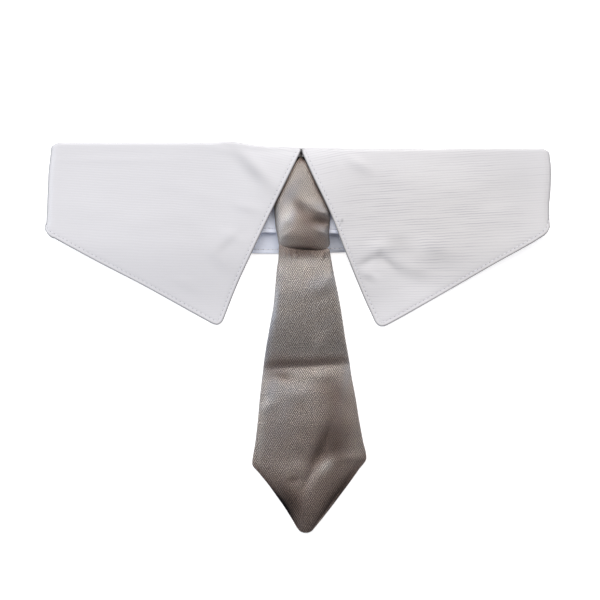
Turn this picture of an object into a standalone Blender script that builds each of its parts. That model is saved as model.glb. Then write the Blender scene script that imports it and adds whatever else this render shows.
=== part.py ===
"""Detachable shirt collar, closed and laid flat, with a ready-tied short tie sewn to its front.

Lengths in the tables are millimetres. X runs across the collar, Y from its points up to its fold,
Z up from the surface that it lies on. The origin is under the middle of the back, on that surface.
"""
import math

import bpy
import numpy as np

MM = 0.001

# Cloth layers, from the surface upwards: back leaf, back stand, neck gap, front stand, front leaf
WALL = 1.0
SEAM_GAP = 0.3
LAYER_PITCH = WALL + SEAM_GAP
NECK_GAP = 1.6
STACK_HEIGHT = 4 * WALL + 2 * SEAM_GAP + NECK_GAP
STACK_MIDDLE = STACK_HEIGHT / 2
LEAF_BEND = STACK_MIDDLE - WALL / 2

# Roll of the leaf over the top of the stand
ROLL_RADIUS = LAYER_PITCH / 2
SHOULDER_DROP = ROLL_RADIUS + WALL / 2
INNER_LEG = 3.5
STAND_TOP_GAP = 0.8
ROLL_STEP = 30
FOLD_STEP = 30
FOLD_CORNER_DROP = 1.0
STAND_CORNER_DROP = 1.4

# Front points of the leaf
TIP_ROUNDING = 2.6
TIP_STEPS = 6
EDGE_SAMPLES = 120
DROOP_START = -16.0
DROOP_LENGTH = 35.0

# Lap of the stand's two ends, under the knot
LAP_END = 9.0
LAP_SLOPE_START = 26.0
LAP_SLOPE_END = 12.0

# Knot and blade
KNOT_FLOOR = STACK_HEIGHT - WALL
KNOT_BACK_WALL = 1.0
KNOT_FRONT_WALL = 1.2
KNOT_SIDE_WALL = 1.2
KNOT_EDGE_HEIGHT = 1.0
KNOT_EDGE_SHARE = 0.45
KNOT_CROWN_POWER = 0.8
KNOT_BASE_POWER = 0.3
KNOT_CENTRE = 0.4
POCKET_END = -10.0
KNOT_RING_POINTS = 24
BLADE_EDGE = 0.9
BLADE_CROWN_POWER = 2.5

LEAF_SHARES_ACROSS = (0, .014, .03, .06, .10, .15, .21, .28, .36, .45, .55, .65, .75, .85, .93, 1)
LEAF_SHARES_DOWN = (0, .03, .07, .12, .18, .25, .33, .42, .52, .62, .72, .81, .89, .95, .98, 1)
BACK_SHARES = (.1, .2, .3, .4, .5, .6, .7, .8, .9)
STAND_SHARES_ACROSS = (0, .08, .16, .23, .3, .37, .46, .58, .7, .85, 1)
STAND_SHARES_DOWN = (0, .25, .5, .75, 1)
BLADE_SHARES_ACROSS = (-.96, -.8, -.5, -.2, .2, .5, .8, .96)


def table(columns, *rows):
    """A table as one array for each named column."""
    return dict(zip(columns.split(), np.array(rows, float).T))


TOP_EDGE = table(
    "x      front  back",
    (-102.0, 24.1, 23.6),
    (-70.0, 24.0, 23.3),
    (-38.0, 24.0, 23.0),
    (-31.0, 24.6, 22.9),
    (-18.0, 22.9, 22.7),
    (-0.5, 21.7, 22.4),
    (25.0, 21.2, 21.9),
    (50.0, 21.3, 21.6),
    (75.0, 21.7, 21.4),
    (101.0, 21.7, 21.3),
)
SIDE_EDGE = table(
    "y     left    right",
    (-16.0, -107.7, 104.9),
    (-10.9, -107.7, 104.9),
    (-5.9, -107.4, 104.7),
    (1.7, -107.1, 104.9),
    (11.8, -106.3, 105.2),
    (19.0, -105.4, 104.6),
    (23.0, -105.0, 103.8),
)
FRONT_EDGE = {
    "left": table(
        "y      x",
        (-53.8, -34.1),
        (-48.7, -32.1),
        (-36.1, -27.1),
        (-21.8, -20.5),
        (0.0, -10.0),
        (20.6, -0.5),
    ),
    "right": table(
        "y      x",
        (-54.5, 32.7),
        (-51.2, 31.2),
        (-41.2, 26.6),
        (-21.0, 18.3),
        (-6.2, 12.5),
        (9.7, 5.0),
        (20.6, 0.0),
    ),
}
LOWER_EDGE = {
    "left": table(
        "x       y",
        (-104.6, -15.5),
        (-101.2, -17.4),
        (-86.1, -25.6),
        (-65.9, -36.1),
        (-45.8, -47.3),
        (-34.1, -53.8),
    ),
    "right": table(
        "x      y",
        (32.7, -54.5),
        (41.6, -49.7),
        (61.7, -38.2),
        (81.9, -26.5),
        (97.0, -18.1),
        (101.7, -15.2),
    ),
}
BACK_LOWER_EDGE = table(
    "x       leaf   stand",
    (-104.6, -9.5, -9.0),
    (-80.0, -15.5, -11.0),
    (-50.0, -20.2, -12.4),
    (-14.0, -22.5, -13.0),
    (16.0, -22.0, -13.0),
    (50.0, -19.6, -12.4),
    (80.0, -14.6, -11.0),
    (101.7, -6.8, -6.3),
)
STAND_FRONT_EDGE = table(
    "x       y",
    (-104.8, -10.0),
    (-60.0, -12.4),
    (-12.0, -13.7),
    (12.0, -14.0),
    (60.0, -12.4),
    (101.7, -8.0),
)
LEAF_LIFT = table(
    "y      height",
    (-50.0, 0.0),
    (-35.0, 0.4),
    (-22.0, 1.2),
    (-13.0, 2.0),
    (-4.8, 2.9),
    (4.0, 3.2),
    (12.0, 2.6),
    (16.5, 1.9),
    (18.5, 1.4),
    (20.6, 0.5),
)
LIFT_FULL_REACH = 6.0
LIFT_END_REACH = 36.0
KNOT_SECTIONS = table(
    "y     left   right thickness",
    (-20.4, -9.3, 11.6, 4.4),
    (-18.8, -9.6, 12.2, 4.6),
    (-15.4, -10.0, 11.9, 4.6),
    (-10.0, -10.9, 12.1, 4.4),
    (-4.8, -11.3, 12.4, 3.8),
    (4.0, -11.8, 12.6, 2.9),
    (12.0, -11.2, 11.9, 2.1),
    (16.5, -8.6, 9.3, 1.4),
    (18.2, -4.6, 5.2, 0.8),
)
BLADE_SECTIONS = table(
    "left_y left_x  right_y right_x under thickness",
    (-11.5, -7.8, -11.5, 9.4, 6.55, 1.2),
    (-16.0, -7.6, -16.0, 9.4, 6.55, 1.5),
    (-20.4, -7.2, -20.4, 9.2, 6.55, 1.5),
    (-22.0, -9.3, -22.0, 12.1, 6.6, 1.8),
    (-24.5, -9.5, -24.5, 12.6, 6.7, 1.9),
    (-29.4, -10.2, -29.4, 13.5, 6.6, 2.0),
    (-36.0, -10.8, -36.0, 14.9, 6.1, 2.0),
    (-43.7, -11.5, -43.7, 16.4, 5.1, 1.9),
    (-51.0, -12.8, -51.0, 17.6, 3.9, 1.9),
    (-58.8, -14.2, -58.2, 18.7, 2.4, 1.9),
    (-66.2, -15.4, -64.2, 19.8, 0.8, 1.9),
    (-69.4, -15.8, -67.2, 20.3, 0.2, 1.9),
    (-71.2, -16.0, -68.9, 20.6, 0.0, 1.4),
    (-73.0, -16.2, -70.7, 20.8, 0.1, 1.9),
    (-76.4, -16.6, -74.6, 21.4, 0.3, 2.0),
    (-83.5, -17.4, -83.0, 23.0, 0.7, 2.0),
    (-92.4, -18.2, -92.4, 24.5, 0.7, 2.0),
    (-102.0, -19.3, -101.0, 26.1, 0.3, 2.0),
    (-110.9, -20.6, -108.6, 27.6, 0.0, 1.9),
    (-114.9, -17.7, -113.4, 24.4, 0.0, 2.0),
    (-119.3, -14.1, -119.3, 20.2, 0.0, 2.1),
    (-124.4, -10.4, -124.4, 16.4, 0.0, 2.1),
    (-129.4, -6.9, -129.4, 12.6, 0.0, 2.0),
    (-134.0, -4.0, -134.0, 9.0, 0.0, 1.8),
    (-137.9, -1.7, -137.9, 5.8, 0.0, 1.5),
    (-140.1, 0.6, -140.1, 3.3, 0.0, 1.2),
)


def read(rows, key, column, at):
    """A column's value at a place, on a smooth curve through the rows that never overshoots them."""
    x, y = rows[key], rows[column]
    steps = np.diff(x)
    slopes = np.diff(y) / steps
    product = slopes[:-1] * slopes[1:]
    total = slopes[:-1] + slopes[1:]
    inner = np.where(product > 0, 2 * product / np.where(total == 0, 1, total), 0)
    tangents = np.concatenate(([slopes[0]], inner, [slopes[-1]]))
    at = np.clip(at, x[0], x[-1])
    i = np.clip(np.searchsorted(x, at) - 1, 0, len(steps) - 1)
    t = (at - x[i]) / steps[i]
    return (
        y[i] * (1 + 2 * t) * (1 - t) ** 2
        + y[i + 1] * t**2 * (3 - 2 * t)
        + steps[i] * t * (1 - t) * (tangents[i] * (1 - t) - tangents[i + 1] * t)
    )


def ease(share):
    """0 to 1, level at both ends."""
    share = np.clip(share, 0, 1)
    return share * share * (3 - 2 * share)


def along(line, shares):
    """Points at the given shares of a polyline's length."""
    reach = np.concatenate(([0], np.cumsum(np.linalg.norm(np.diff(line, axis=0), axis=1))))
    at = np.asarray(shares) * reach[-1]
    return np.stack([np.interp(at, reach, line[:, 0]), np.interp(at, reach, line[:, 1])], axis=1)


def direction(side):
    return -1 if side == "left" else 1


def bend_line(side, y):
    """X of the line about which the cloth folds back at one side."""
    return read(SIDE_EDGE, "y", side, y) - direction(side) * (LEAF_BEND + WALL / 2)


def leaf_lift(x, y):
    """How far the knot under the leaves holds them up."""
    reach = (abs(x - KNOT_CENTRE) - LIFT_FULL_REACH) / (LIFT_END_REACH - LIFT_FULL_REACH)
    return read(LEAF_LIFT, "y", "height", y) * (1 - ease(reach))


def leaf_droop(y):
    """How far the points sink below the front layer, to the surface at their tips."""
    return (STACK_HEIGHT - WALL) * ease((DROOP_START - y) / DROOP_LENGTH)


def place(x, y, depth, side, angle, height=0.0):
    """A point of a layer: depth from the leaf inwards, and an angle of 0 in front, 180 at the back."""
    bend = LEAF_BEND - depth
    return (
        x + direction(side) * bend * math.sin(angle),
        y,
        STACK_MIDDLE + bend * math.cos(angle) + height,
    )


def roll_rows():
    """Rise, depth and share of the lift for the rows from the inner leg over the roll."""
    rows = [(-INNER_LEG, 2 * ROLL_RADIUS, 0.0)]
    for degrees in range(180, -1, -ROLL_STEP):
        turn = math.radians(degrees)
        share = (1 + math.cos(turn)) / 2
        rows.append((ROLL_RADIUS * math.sin(turn), 2 * ROLL_RADIUS * (1 - share), share))
    return rows


def leaf_column(outline, side, angle):
    """One line of the leaf, from its inner leg over the roll and down to its lower edge."""
    in_front = angle == 0
    x, y = outline[0]
    lift = leaf_lift(x, y) if in_front else 0.0
    points = [
        place(x, y + rise, depth, side, angle, share * lift) for rise, depth, share in roll_rows()
    ]
    for x, y in outline[1:]:
        height = leaf_lift(x, y) - leaf_droop(y) if in_front else 0.0
        points.append(place(x, y, 0.0, side, angle, height))
    return points


def straight_outline(side, top, bottom):
    """The line of a side fold or of the back, as an outline from shoulder to lower edge."""
    y = top + (bottom - top) * np.array(LEAF_SHARES_DOWN)
    return np.stack([bend_line(side, y), y], axis=1)


def fold_ends(side):
    """Y of the shoulder and of the lower edge at a side fold, on the front and on the back."""
    x = bend_line(side, 0.0)
    return {
        "front": (read(TOP_EDGE, "x", "front", x) - SHOULDER_DROP, read(LOWER_EDGE[side], "x", "y", x)),
        "back": (read(TOP_EDGE, "x", "back", x) - SHOULDER_DROP, read(BACK_LOWER_EDGE, "x", "leaf", x)),
    }


def leaf_edges(side):
    """Front edge and lower edge of one front leaf, meeting in the middle of its rounded tip."""
    front_rows, lower_rows = FRONT_EDGE[side], LOWER_EDGE[side]
    y = np.linspace(front_rows["y"][-1], front_rows["y"][0], EDGE_SAMPLES)
    front = np.stack([read(front_rows, "y", "x", y), y], axis=1)
    tip = front[-1]
    x = np.linspace(tip[0], bend_line(side, fold_ends(side)["front"][1]), EDGE_SAMPLES)
    lower = np.stack([x, read(lower_rows, "x", "y", x)], axis=1)
    before = front[np.linalg.norm(front - tip, axis=1) > TIP_ROUNDING]
    after = lower[np.linalg.norm(lower - tip, axis=1) > TIP_ROUNDING]
    t = np.linspace(0, 1, 2 * TIP_STEPS + 1)[:, None]
    arc = (1 - t) ** 2 * before[-1] + 2 * t * (1 - t) * tip + t**2 * after[0]
    front = np.concatenate([before, arc[1 : TIP_STEPS + 1]])
    return front, np.concatenate([arc[TIP_STEPS:-1], after])


def front_leaf_columns(side):
    """Columns of one front leaf, from its front edge to the side fold, blended between its four edges."""
    front_edge, lower_edge = leaf_edges(side)
    top_y, bottom_y = fold_ends(side)["front"]
    x = np.linspace(front_edge[0][0], bend_line(side, top_y), EDGE_SAMPLES)
    top_edge = np.stack([x, read(TOP_EDGE, "x", "front", x) - SHOULDER_DROP], axis=1)
    front_edge[0] = top_edge[0]
    down = np.array(LEAF_SHARES_DOWN)[:, None]
    front = along(front_edge, LEAF_SHARES_DOWN)
    fold = straight_outline(side, top_y, bottom_y)
    tops = along(top_edge, LEAF_SHARES_ACROSS)
    bottoms = along(lower_edge, LEAF_SHARES_ACROSS)
    bottoms[-1] = fold[-1]
    columns = []
    for across, top, bottom in zip(LEAF_SHARES_ACROSS, tops, bottoms):
        outline = (
            (1 - across) * front
            + across * fold
            + (1 - down) * (top - (1 - across) * front[0] - across * fold[0])
            + down * (bottom - (1 - across) * front[-1] - across * fold[-1])
        )
        columns.append(leaf_column(outline, side, 0.0))
    return columns


def fold_columns(side):
    """Columns round one side fold, from the front towards the back, without the front's own."""
    ends = fold_ends(side)
    columns = []
    for degrees in range(FOLD_STEP, 181, FOLD_STEP):
        angle = math.radians(degrees)
        share = (1 - math.cos(angle)) / 2
        corner = FOLD_CORNER_DROP * math.sin(angle)
        top = ends["front"][0] + share * (ends["back"][0] - ends["front"][0]) - corner
        bottom = ends["front"][1] + share * (ends["back"][1] - ends["front"][1])
        columns.append(leaf_column(straight_outline(side, top, bottom), side, angle))
    return columns


def back_columns():
    """Columns of the back of the leaf, from the left fold to the right fold, without those of the folds."""
    left_x, right_x = bend_line("left", 0.0), bend_line("right", 0.0)
    columns = []
    for share in BACK_SHARES:
        x = left_x + share * (right_x - left_x)
        top = read(TOP_EDGE, "x", "back", x) - SHOULDER_DROP
        bottom = read(BACK_LOWER_EDGE, "x", "leaf", x)
        y = top + (bottom - top) * np.array(LEAF_SHARES_DOWN)
        line = (1 - share) * bend_line("left", y) + share * bend_line("right", y)
        columns.append(leaf_column(np.stack([line, y], axis=1), "left", math.pi))
    return columns


def leaf_surface():
    """Middle surface of the leaf, one strip from the left point round the back to the right point."""
    return (
        front_leaf_columns("left")
        + fold_columns("left")
        + back_columns()
        + fold_columns("right")[::-1]
        + front_leaf_columns("right")[::-1]
    )


def stand_top(x, layer):
    return read(TOP_EDGE, "x", layer, x) - SHOULDER_DROP - INNER_LEG - STAND_TOP_GAP


def stand_rows(top, bottom):
    return top + (bottom - top) * np.array(STAND_SHARES_DOWN)


def stand_front_columns(side, laps_under):
    """Columns of one front half of the stand, from its end under the knot to the side fold."""
    end = -direction(side) * LAP_END
    turn = bend_line(side, 0.0)
    columns = []
    for share in STAND_SHARES_ACROSS:
        x = end + share * (turn - end)
        slope = (LAP_SLOPE_START - direction(side) * x) / (LAP_SLOPE_START - LAP_SLOPE_END)
        height = -LAYER_PITCH * ease(slope) if laps_under else 0.0
        ys = stand_rows(stand_top(x, "front"), read(STAND_FRONT_EDGE, "x", "y", x))
        lines = end + share * (bend_line(side, ys) - end)
        columns.append([place(x, y, LAYER_PITCH, side, 0.0, height) for x, y in zip(lines, ys)])
    return columns


def stand_fold_columns(side):
    """Columns of the stand round one side fold, from the front towards the back."""
    x = bend_line(side, 0.0)
    front_top, back_top = stand_top(x, "front"), stand_top(x, "back")
    front_bottom = read(STAND_FRONT_EDGE, "x", "y", x)
    back_bottom = read(BACK_LOWER_EDGE, "x", "stand", x)
    columns = []
    for degrees in range(FOLD_STEP, 181, FOLD_STEP):
        angle = math.radians(degrees)
        share = (1 - math.cos(angle)) / 2
        top = front_top + share * (back_top - front_top) - STAND_CORNER_DROP * math.sin(angle)
        ys = stand_rows(top, front_bottom + share * (back_bottom - front_bottom))
        columns.append([place(bend_line(side, y), y, LAYER_PITCH, side, angle) for y in ys])
    return columns


def stand_back_columns():
    left_x, right_x = bend_line("left", 0.0), bend_line("right", 0.0)
    columns = []
    for share in BACK_SHARES:
        x = left_x + share * (right_x - left_x)
        ys = stand_rows(stand_top(x, "back"), read(BACK_LOWER_EDGE, "x", "stand", x))
        lines = (1 - share) * bend_line("left", ys) + share * bend_line("right", ys)
        columns.append([place(x, y, LAYER_PITCH, "left", math.pi) for x, y in zip(lines, ys)])
    return columns


def stand_surface():
    """Middle surface of the stand: its left end lies under its right end at the centre of the front."""
    return (
        stand_front_columns("left", laps_under=True)
        + stand_fold_columns("left")
        + stand_back_columns()
        + stand_fold_columns("right")[::-1]
        + stand_front_columns("right", laps_under=False)[::-1]
    )


def knot_ring(y, inset, floor, thickness):
    """A flat-bottomed, crowned ring across the knot."""
    left = read(KNOT_SECTIONS, "y", "left", y) + inset
    right = read(KNOT_SECTIONS, "y", "right", y) - inset
    middle, half = (left + right) / 2, (right - left) / 2
    edge = min(KNOT_EDGE_HEIGHT, KNOT_EDGE_SHARE * thickness)
    points = []
    for k in range(KNOT_RING_POINTS):
        turn = 2 * math.pi * k / KNOT_RING_POINTS
        up = math.sin(turn)
        if up > 0:
            rise = (thickness - edge) * up**KNOT_CROWN_POWER
        else:
            rise = -edge * abs(up) ** KNOT_BASE_POWER
        points.append((middle + half * math.cos(turn), y, floor + edge + rise))
    return points


def knot_rings():
    """Rings from the closed top of the knot down to its mouth, then back up its pocket."""
    rings = []
    for y in KNOT_SECTIONS["y"][::-1]:
        rings.append(knot_ring(y, 0.0, KNOT_FLOOR, read(KNOT_SECTIONS, "y", "thickness", y)))
    for y in KNOT_SECTIONS["y"]:
        if y <= POCKET_END:
            hollow = read(KNOT_SECTIONS, "y", "thickness", y) - KNOT_BACK_WALL - KNOT_FRONT_WALL
            rings.append(knot_ring(y, KNOT_SIDE_WALL, KNOT_FLOOR + KNOT_BACK_WALL, hollow))
    return rings


def blade_rings():
    """Flat rings of the folded blade, crowned above, from its head in the knot to its point."""
    rings = []
    names = ("left_y", "left_x", "right_y", "right_x", "under", "thickness")
    for left_y, left_x, right_y, right_x, under, thickness in zip(*(BLADE_SECTIONS[n] for n in names)):
        edge = min(BLADE_EDGE, thickness)

        def point(share, height):
            t = (share + 1) / 2
            return (
                left_x + t * (right_x - left_x),
                left_y + t * (right_y - left_y),
                under + height,
            )

        crown = [
            point(s, edge + (thickness - edge) * (1 - abs(s) ** BLADE_CROWN_POWER))
            for s in BLADE_SHARES_ACROSS
        ]
        base = [point(s, 0.0) for s in BLADE_SHARES_ACROSS]
        rings.append(base + [point(1, edge / 2)] + crown[::-1] + [point(-1, edge / 2)])
    return rings


def new_object(name, vertices, faces, collection, material):
    mesh = bpy.data.meshes.new(name)
    mesh.from_pydata([tuple(c * MM for c in v) for v in vertices], [], faces)
    mesh.materials.append(material)
    mesh.shade_smooth()
    thing = bpy.data.objects.new(name, mesh)
    collection.objects.link(thing)
    return thing


def add_cloth(name, columns, collection, material):
    """A cloth wall on a grid of points, given as columns."""
    rows = len(columns[0])
    faces = [
        (i * rows + j, i * rows + j + 1, (i + 1) * rows + j + 1, (i + 1) * rows + j)
        for i in range(len(columns) - 1)
        for j in range(rows - 1)
    ]
    thing = new_object(name, [p for c in columns for p in c], faces, collection, material)
    wall = thing.modifiers.new("wall", "SOLIDIFY")
    wall.thickness = WALL * MM
    wall.offset = 0
    wall.use_even_offset = True
    return thing


def add_loft(name, rings, collection, material):
    """A closed solid through rings of as many points each, capped at both ends."""
    count = len(rings[0])
    faces = [
        (i * count + j, i * count + (j + 1) % count, (i + 1) * count + (j + 1) % count, (i + 1) * count + j)
        for i in range(len(rings) - 1)
        for j in range(count)
    ]
    last = (len(rings) - 1) * count
    faces.append(tuple(range(count))[::-1])
    faces.append(tuple(range(last, last + count)))
    return new_object(name, [p for ring in rings for p in ring], faces, collection, material)


def cloth_material(name, colour, roughness, sheen):
    material = bpy.data.materials.new(name)
    material.use_nodes = True
    shader = material.node_tree.nodes["Principled BSDF"]
    shader.inputs["Base Color"].default_value = (*colour, 1)
    shader.inputs["Roughness"].default_value = roughness
    shader.inputs["Metallic"].default_value = 0.0
    shader.inputs["Sheen Weight"].default_value = sheen
    return material


def main():
    for old in list(bpy.data.objects):
        bpy.data.objects.remove(old, do_unlink=True)
    collar = bpy.data.collections.new("shirt_collar_with_tie")
    bpy.context.scene.collection.children.link(collar)
    poplin = cloth_material("white_poplin", (0.80, 0.80, 0.82), 0.85, 0.2)
    satin = cloth_material("taupe_satin", (0.30, 0.27, 0.25), 0.38, 0.3)
    add_cloth("collar_leaf", leaf_surface(), collar, poplin)
    add_cloth("collar_stand", stand_surface(), collar, poplin)
    add_loft("tie_knot", knot_rings(), collar, satin)
    add_loft("tie_blade", blade_rings(), collar, satin)


main()
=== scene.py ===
"""Looks of a detachable shirt collar that lies closed and flat, with a short ready-tied satin tie.

Lengths in the tables are millimetres, in the frame of the part: X across the collar, Y from its
points up to its fold, Z up from the surface that it lies on. Objects are in metres.
"""
import math

import bpy
import numpy as np
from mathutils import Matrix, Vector, kdtree


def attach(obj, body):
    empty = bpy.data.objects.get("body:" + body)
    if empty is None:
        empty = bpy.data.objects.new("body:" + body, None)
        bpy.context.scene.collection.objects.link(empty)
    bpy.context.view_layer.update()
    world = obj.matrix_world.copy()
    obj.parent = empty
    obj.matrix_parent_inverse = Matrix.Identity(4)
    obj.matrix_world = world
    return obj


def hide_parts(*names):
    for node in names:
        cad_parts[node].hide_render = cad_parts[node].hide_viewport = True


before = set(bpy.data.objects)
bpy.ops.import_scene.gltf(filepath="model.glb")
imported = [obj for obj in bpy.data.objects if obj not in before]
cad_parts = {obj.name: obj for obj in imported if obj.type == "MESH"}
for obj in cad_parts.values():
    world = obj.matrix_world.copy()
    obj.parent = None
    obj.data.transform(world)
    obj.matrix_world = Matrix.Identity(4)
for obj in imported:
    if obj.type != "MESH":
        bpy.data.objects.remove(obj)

bl_info = {
    "name": "Detachable shirt collar with tie",
    "version": (1, 0, 0),
    "blender": (4, 5, 0),
    "location": "3D View > Sidebar > Collar",
    "description": "Makes a flat white shirt collar with a short satin tie, and its stage",
    "category": "Object",
}

MM = 0.001
CLOTH_UV = "cloth"

# Cloth layers, from the surface upwards: back leaf, back stand, neck gap, front stand, front leaf
WALL = 1.0
SEAM_GAP = 0.3
LAYER_PITCH = WALL + SEAM_GAP
NECK_GAP = 1.6
STACK_HEIGHT = 4 * WALL + 2 * SEAM_GAP + NECK_GAP
STACK_MIDDLE = STACK_HEIGHT / 2
LEAF_BEND = STACK_MIDDLE - WALL / 2

# Roll of the leaf over the top of the stand
ROLL_RADIUS = LAYER_PITCH / 2
SHOULDER_DROP = ROLL_RADIUS + WALL / 2
INNER_LEG = 3.5
INNER_LEG_RISES = (-3.5, -3.44, -3.35, -3.2, -3.0, -2.5, -1.7, -0.8)
STAND_TOP_GAP = 0.8
ROLL_STEP = 15
FOLD_STEP = 15
FOLD_CORNER_DROP = 1.0
FOLD_CORNER_RISE = 1.5
STAND_CORNER_DROP = 1.4

# Front points of the leaf
TIP_ROUNDING = 4.3
TIP_STEPS = 24
EDGE_SAMPLES = 600
DROOP_START = -16.0
DROOP_LENGTH = 35.0

# Lap of the stand's two ends, under the knot
LAP_END = 9.0
LAP_SLOPE_START = 26.0
LAP_SLOPE_END = 12.0

# Knot and blade
KNOT_FLOOR = STACK_HEIGHT - WALL
KNOT_BACK_WALL = 1.0
KNOT_FRONT_WALL = 1.2
KNOT_SIDE_WALL = 1.2
KNOT_EDGE_HEIGHT = 1.0
KNOT_EDGE_SHARE = 0.45
KNOT_CROWN_POWER = 0.8
KNOT_BASE_POWER = 0.3
KNOT_CENTRE = 0.4
KNOT_RING_POINTS = 120
KNOT_RING_PITCH = 0.4
KNOT_HOLLOW_TOP = 6.0
LIP_RADIUS = 0.6
LIP_STEPS = 7
BLADE_EDGE = 0.9
BLADE_CROWN_POWER = 2.5
BLADE_RING_PITCH = 0.6
BLADE_ACROSS = 64
BLADE_SIDE = 0.965
BLADE_WALL = 0.3

# Distances from a stitched edge at which the cloth gets a row, and the pitch of the rows beyond
EDGE_ROWS = (0, 0.06, 0.15, 0.3, 0.5, 0.75, 1.0, 1.2, 1.38, 1.52, 1.66, 1.8, 1.98, 2.2, 2.6, 3.2, 4.0)
FRONT_PITCH = 1.1
BACK_PITCH = 2.0
LEAF_WIDTH = 103.0
LEAF_DEPTH = 74.0
STAND_DEPTH = 31.0
EDGE_RADIUS = 0.5
EDGE_POINT_PITCH = 0.15
ROLL_SHADE = 0.35
FOLD_SHADE = 0.65
FOLD_START = 100.0
RIM_SHADE = 0.7
RIM_WIDTH = 0.45
# Warmer colour that painted shade takes on the satin
SHADE_WARMTH = (1.25, 0.97, 0.88)


def table(columns, *rows):
    """A table as one array for each named column."""
    return dict(zip(columns.split(), np.array(rows, float).T))


TOP_EDGE = table(
    "x      front  back",
    (-102.0, 24.1, 23.6),
    (-70.0, 24.0, 23.3),
    (-38.0, 24.0, 23.0),
    (-31.0, 24.6, 22.9),
    (-18.0, 22.9, 22.7),
    (-0.5, 21.7, 22.4),
    (25.0, 21.2, 21.9),
    (50.0, 21.3, 21.6),
    (75.0, 21.7, 21.4),
    (101.0, 21.7, 21.3),
)
SIDE_EDGE = table(
    "y     left    right",
    (-16.0, -107.3, 104.4),
    (-11.6, -107.9, 105.0),
    (-9.4, -107.2, 104.5),
    (-6.2, -107.0, 104.4),
    (-2.2, -106.8, 104.4),
    (3.0, -106.6, 104.9),
    (11.8, -106.2, 105.2),
    (19.0, -105.4, 104.6),
    (23.0, -105.0, 103.8),
)
FRONT_EDGE = {
    "left": table(
        "y      x",
        (-53.8, -34.1),
        (-48.7, -32.1),
        (-36.1, -27.1),
        (-21.8, -20.5),
        (0.0, -10.0),
        (20.6, 0.1),
    ),
    "right": table(
        "y      x",
        (-54.5, 32.7),
        (-51.2, 31.2),
        (-41.2, 26.6),
        (-21.0, 18.3),
        (-6.2, 12.5),
        (9.7, 5.0),
        (20.6, 0.0),
    ),
}
LOWER_EDGE = {
    "left": table(
        "x       y",
        (-104.6, -15.5),
        (-101.2, -17.4),
        (-86.1, -25.6),
        (-65.9, -36.1),
        (-45.8, -47.3),
        (-34.1, -53.8),
    ),
    "right": table(
        "x      y",
        (32.7, -54.5),
        (41.6, -49.7),
        (61.7, -38.2),
        (81.9, -26.5),
        (97.0, -18.1),
        (101.7, -15.2),
    ),
}
BACK_LOWER_EDGE = table(
    "x       leaf   stand",
    (-104.6, -9.5, -9.0),
    (-80.0, -15.5, -11.0),
    (-50.0, -20.2, -12.4),
    (-14.0, -22.5, -13.0),
    (16.0, -22.0, -13.0),
    (50.0, -19.6, -12.4),
    (80.0, -14.6, -11.0),
    (101.7, -6.8, -6.3),
)
STAND_FRONT_EDGE = table(
    "x       y",
    (-104.8, -10.0),
    (-60.0, -12.4),
    (-12.0, -13.7),
    (12.0, -14.0),
    (60.0, -12.4),
    (101.7, -8.0),
)
LEAF_LIFT = table(
    "y      height",
    (-50.0, 0.0),
    (-35.0, 0.4),
    (-22.0, 1.2),
    (-13.0, 2.0),
    (-4.8, 2.9),
    (4.0, 3.2),
    (12.0, 2.6),
    (16.5, 1.9),
    (18.5, 1.4),
    (20.6, 0.5),
)
LIFT_FULL_REACH = 6.0
LIFT_END_REACH = 36.0
KNOT_SECTIONS = table(
    "y     left   right thickness",
    (-20.4, -9.3, 11.6, 4.4),
    (-18.8, -9.6, 12.2, 4.6),
    (-15.4, -10.0, 11.9, 4.6),
    (-10.0, -10.9, 12.1, 4.4),
    (-4.8, -11.3, 12.4, 3.8),
    (4.0, -11.8, 12.6, 2.9),
    (12.0, -11.2, 11.9, 2.1),
    (16.5, -8.6, 9.3, 1.4),
    (18.2, -4.6, 5.2, 0.8),
)
BLADE_SECTIONS = table(
    "left_y left_x  right_y right_x under thickness",
    (-11.5, -7.8, -11.5, 9.4, 6.55, 1.2),
    (-16.0, -7.6, -16.0, 9.4, 6.55, 1.5),
    (-17.8, -7.4, -19.4, 9.4, 6.55, 1.5),
    (-18.9, -9.3, -20.7, 11.9, 6.6, 1.6),
    (-24.5, -9.5, -24.5, 12.6, 6.7, 1.9),
    (-29.4, -10.2, -29.4, 13.5, 6.6, 2.0),
    (-36.0, -10.8, -36.0, 14.9, 6.1, 2.0),
    (-43.7, -11.5, -43.7, 16.4, 5.1, 1.9),
    (-51.0, -12.8, -51.0, 17.6, 3.9, 1.9),
    (-58.8, -14.2, -58.2, 18.7, 2.4, 1.9),
    (-66.2, -15.4, -64.2, 19.8, 0.8, 1.9),
    (-69.4, -15.8, -67.2, 20.3, 0.2, 1.9),
    (-71.2, -16.0, -68.9, 20.6, 0.0, 1.8),
    (-73.0, -16.2, -70.7, 20.8, 0.1, 1.9),
    (-76.4, -16.6, -74.6, 21.4, 0.3, 2.0),
    (-83.5, -17.4, -83.0, 23.0, 0.7, 2.0),
    (-92.4, -18.2, -92.4, 24.5, 0.7, 2.0),
    (-102.0, -19.3, -101.0, 26.1, 0.3, 2.0),
    (-110.9, -20.6, -108.6, 27.6, 0.0, 1.9),
    (-114.9, -17.7, -113.4, 24.4, 0.0, 2.0),
    (-119.3, -14.1, -119.3, 20.2, 0.0, 2.1),
    (-124.4, -10.4, -124.4, 16.4, 0.0, 2.1),
    (-129.4, -6.9, -129.4, 12.6, 0.0, 2.0),
    (-134.0, -4.0, -134.0, 9.0, 0.0, 1.8),
    (-137.9, -1.7, -137.9, 5.8, 0.0, 1.5),
    (-139.1, -0.8, -139.1, 4.8, 0.0, 1.3),
    (-139.8, 0.2, -139.8, 3.8, 0.0, 1.1),
    (-140.1, 1.2, -140.1, 2.8, 0.0, 1.0),
)

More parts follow.
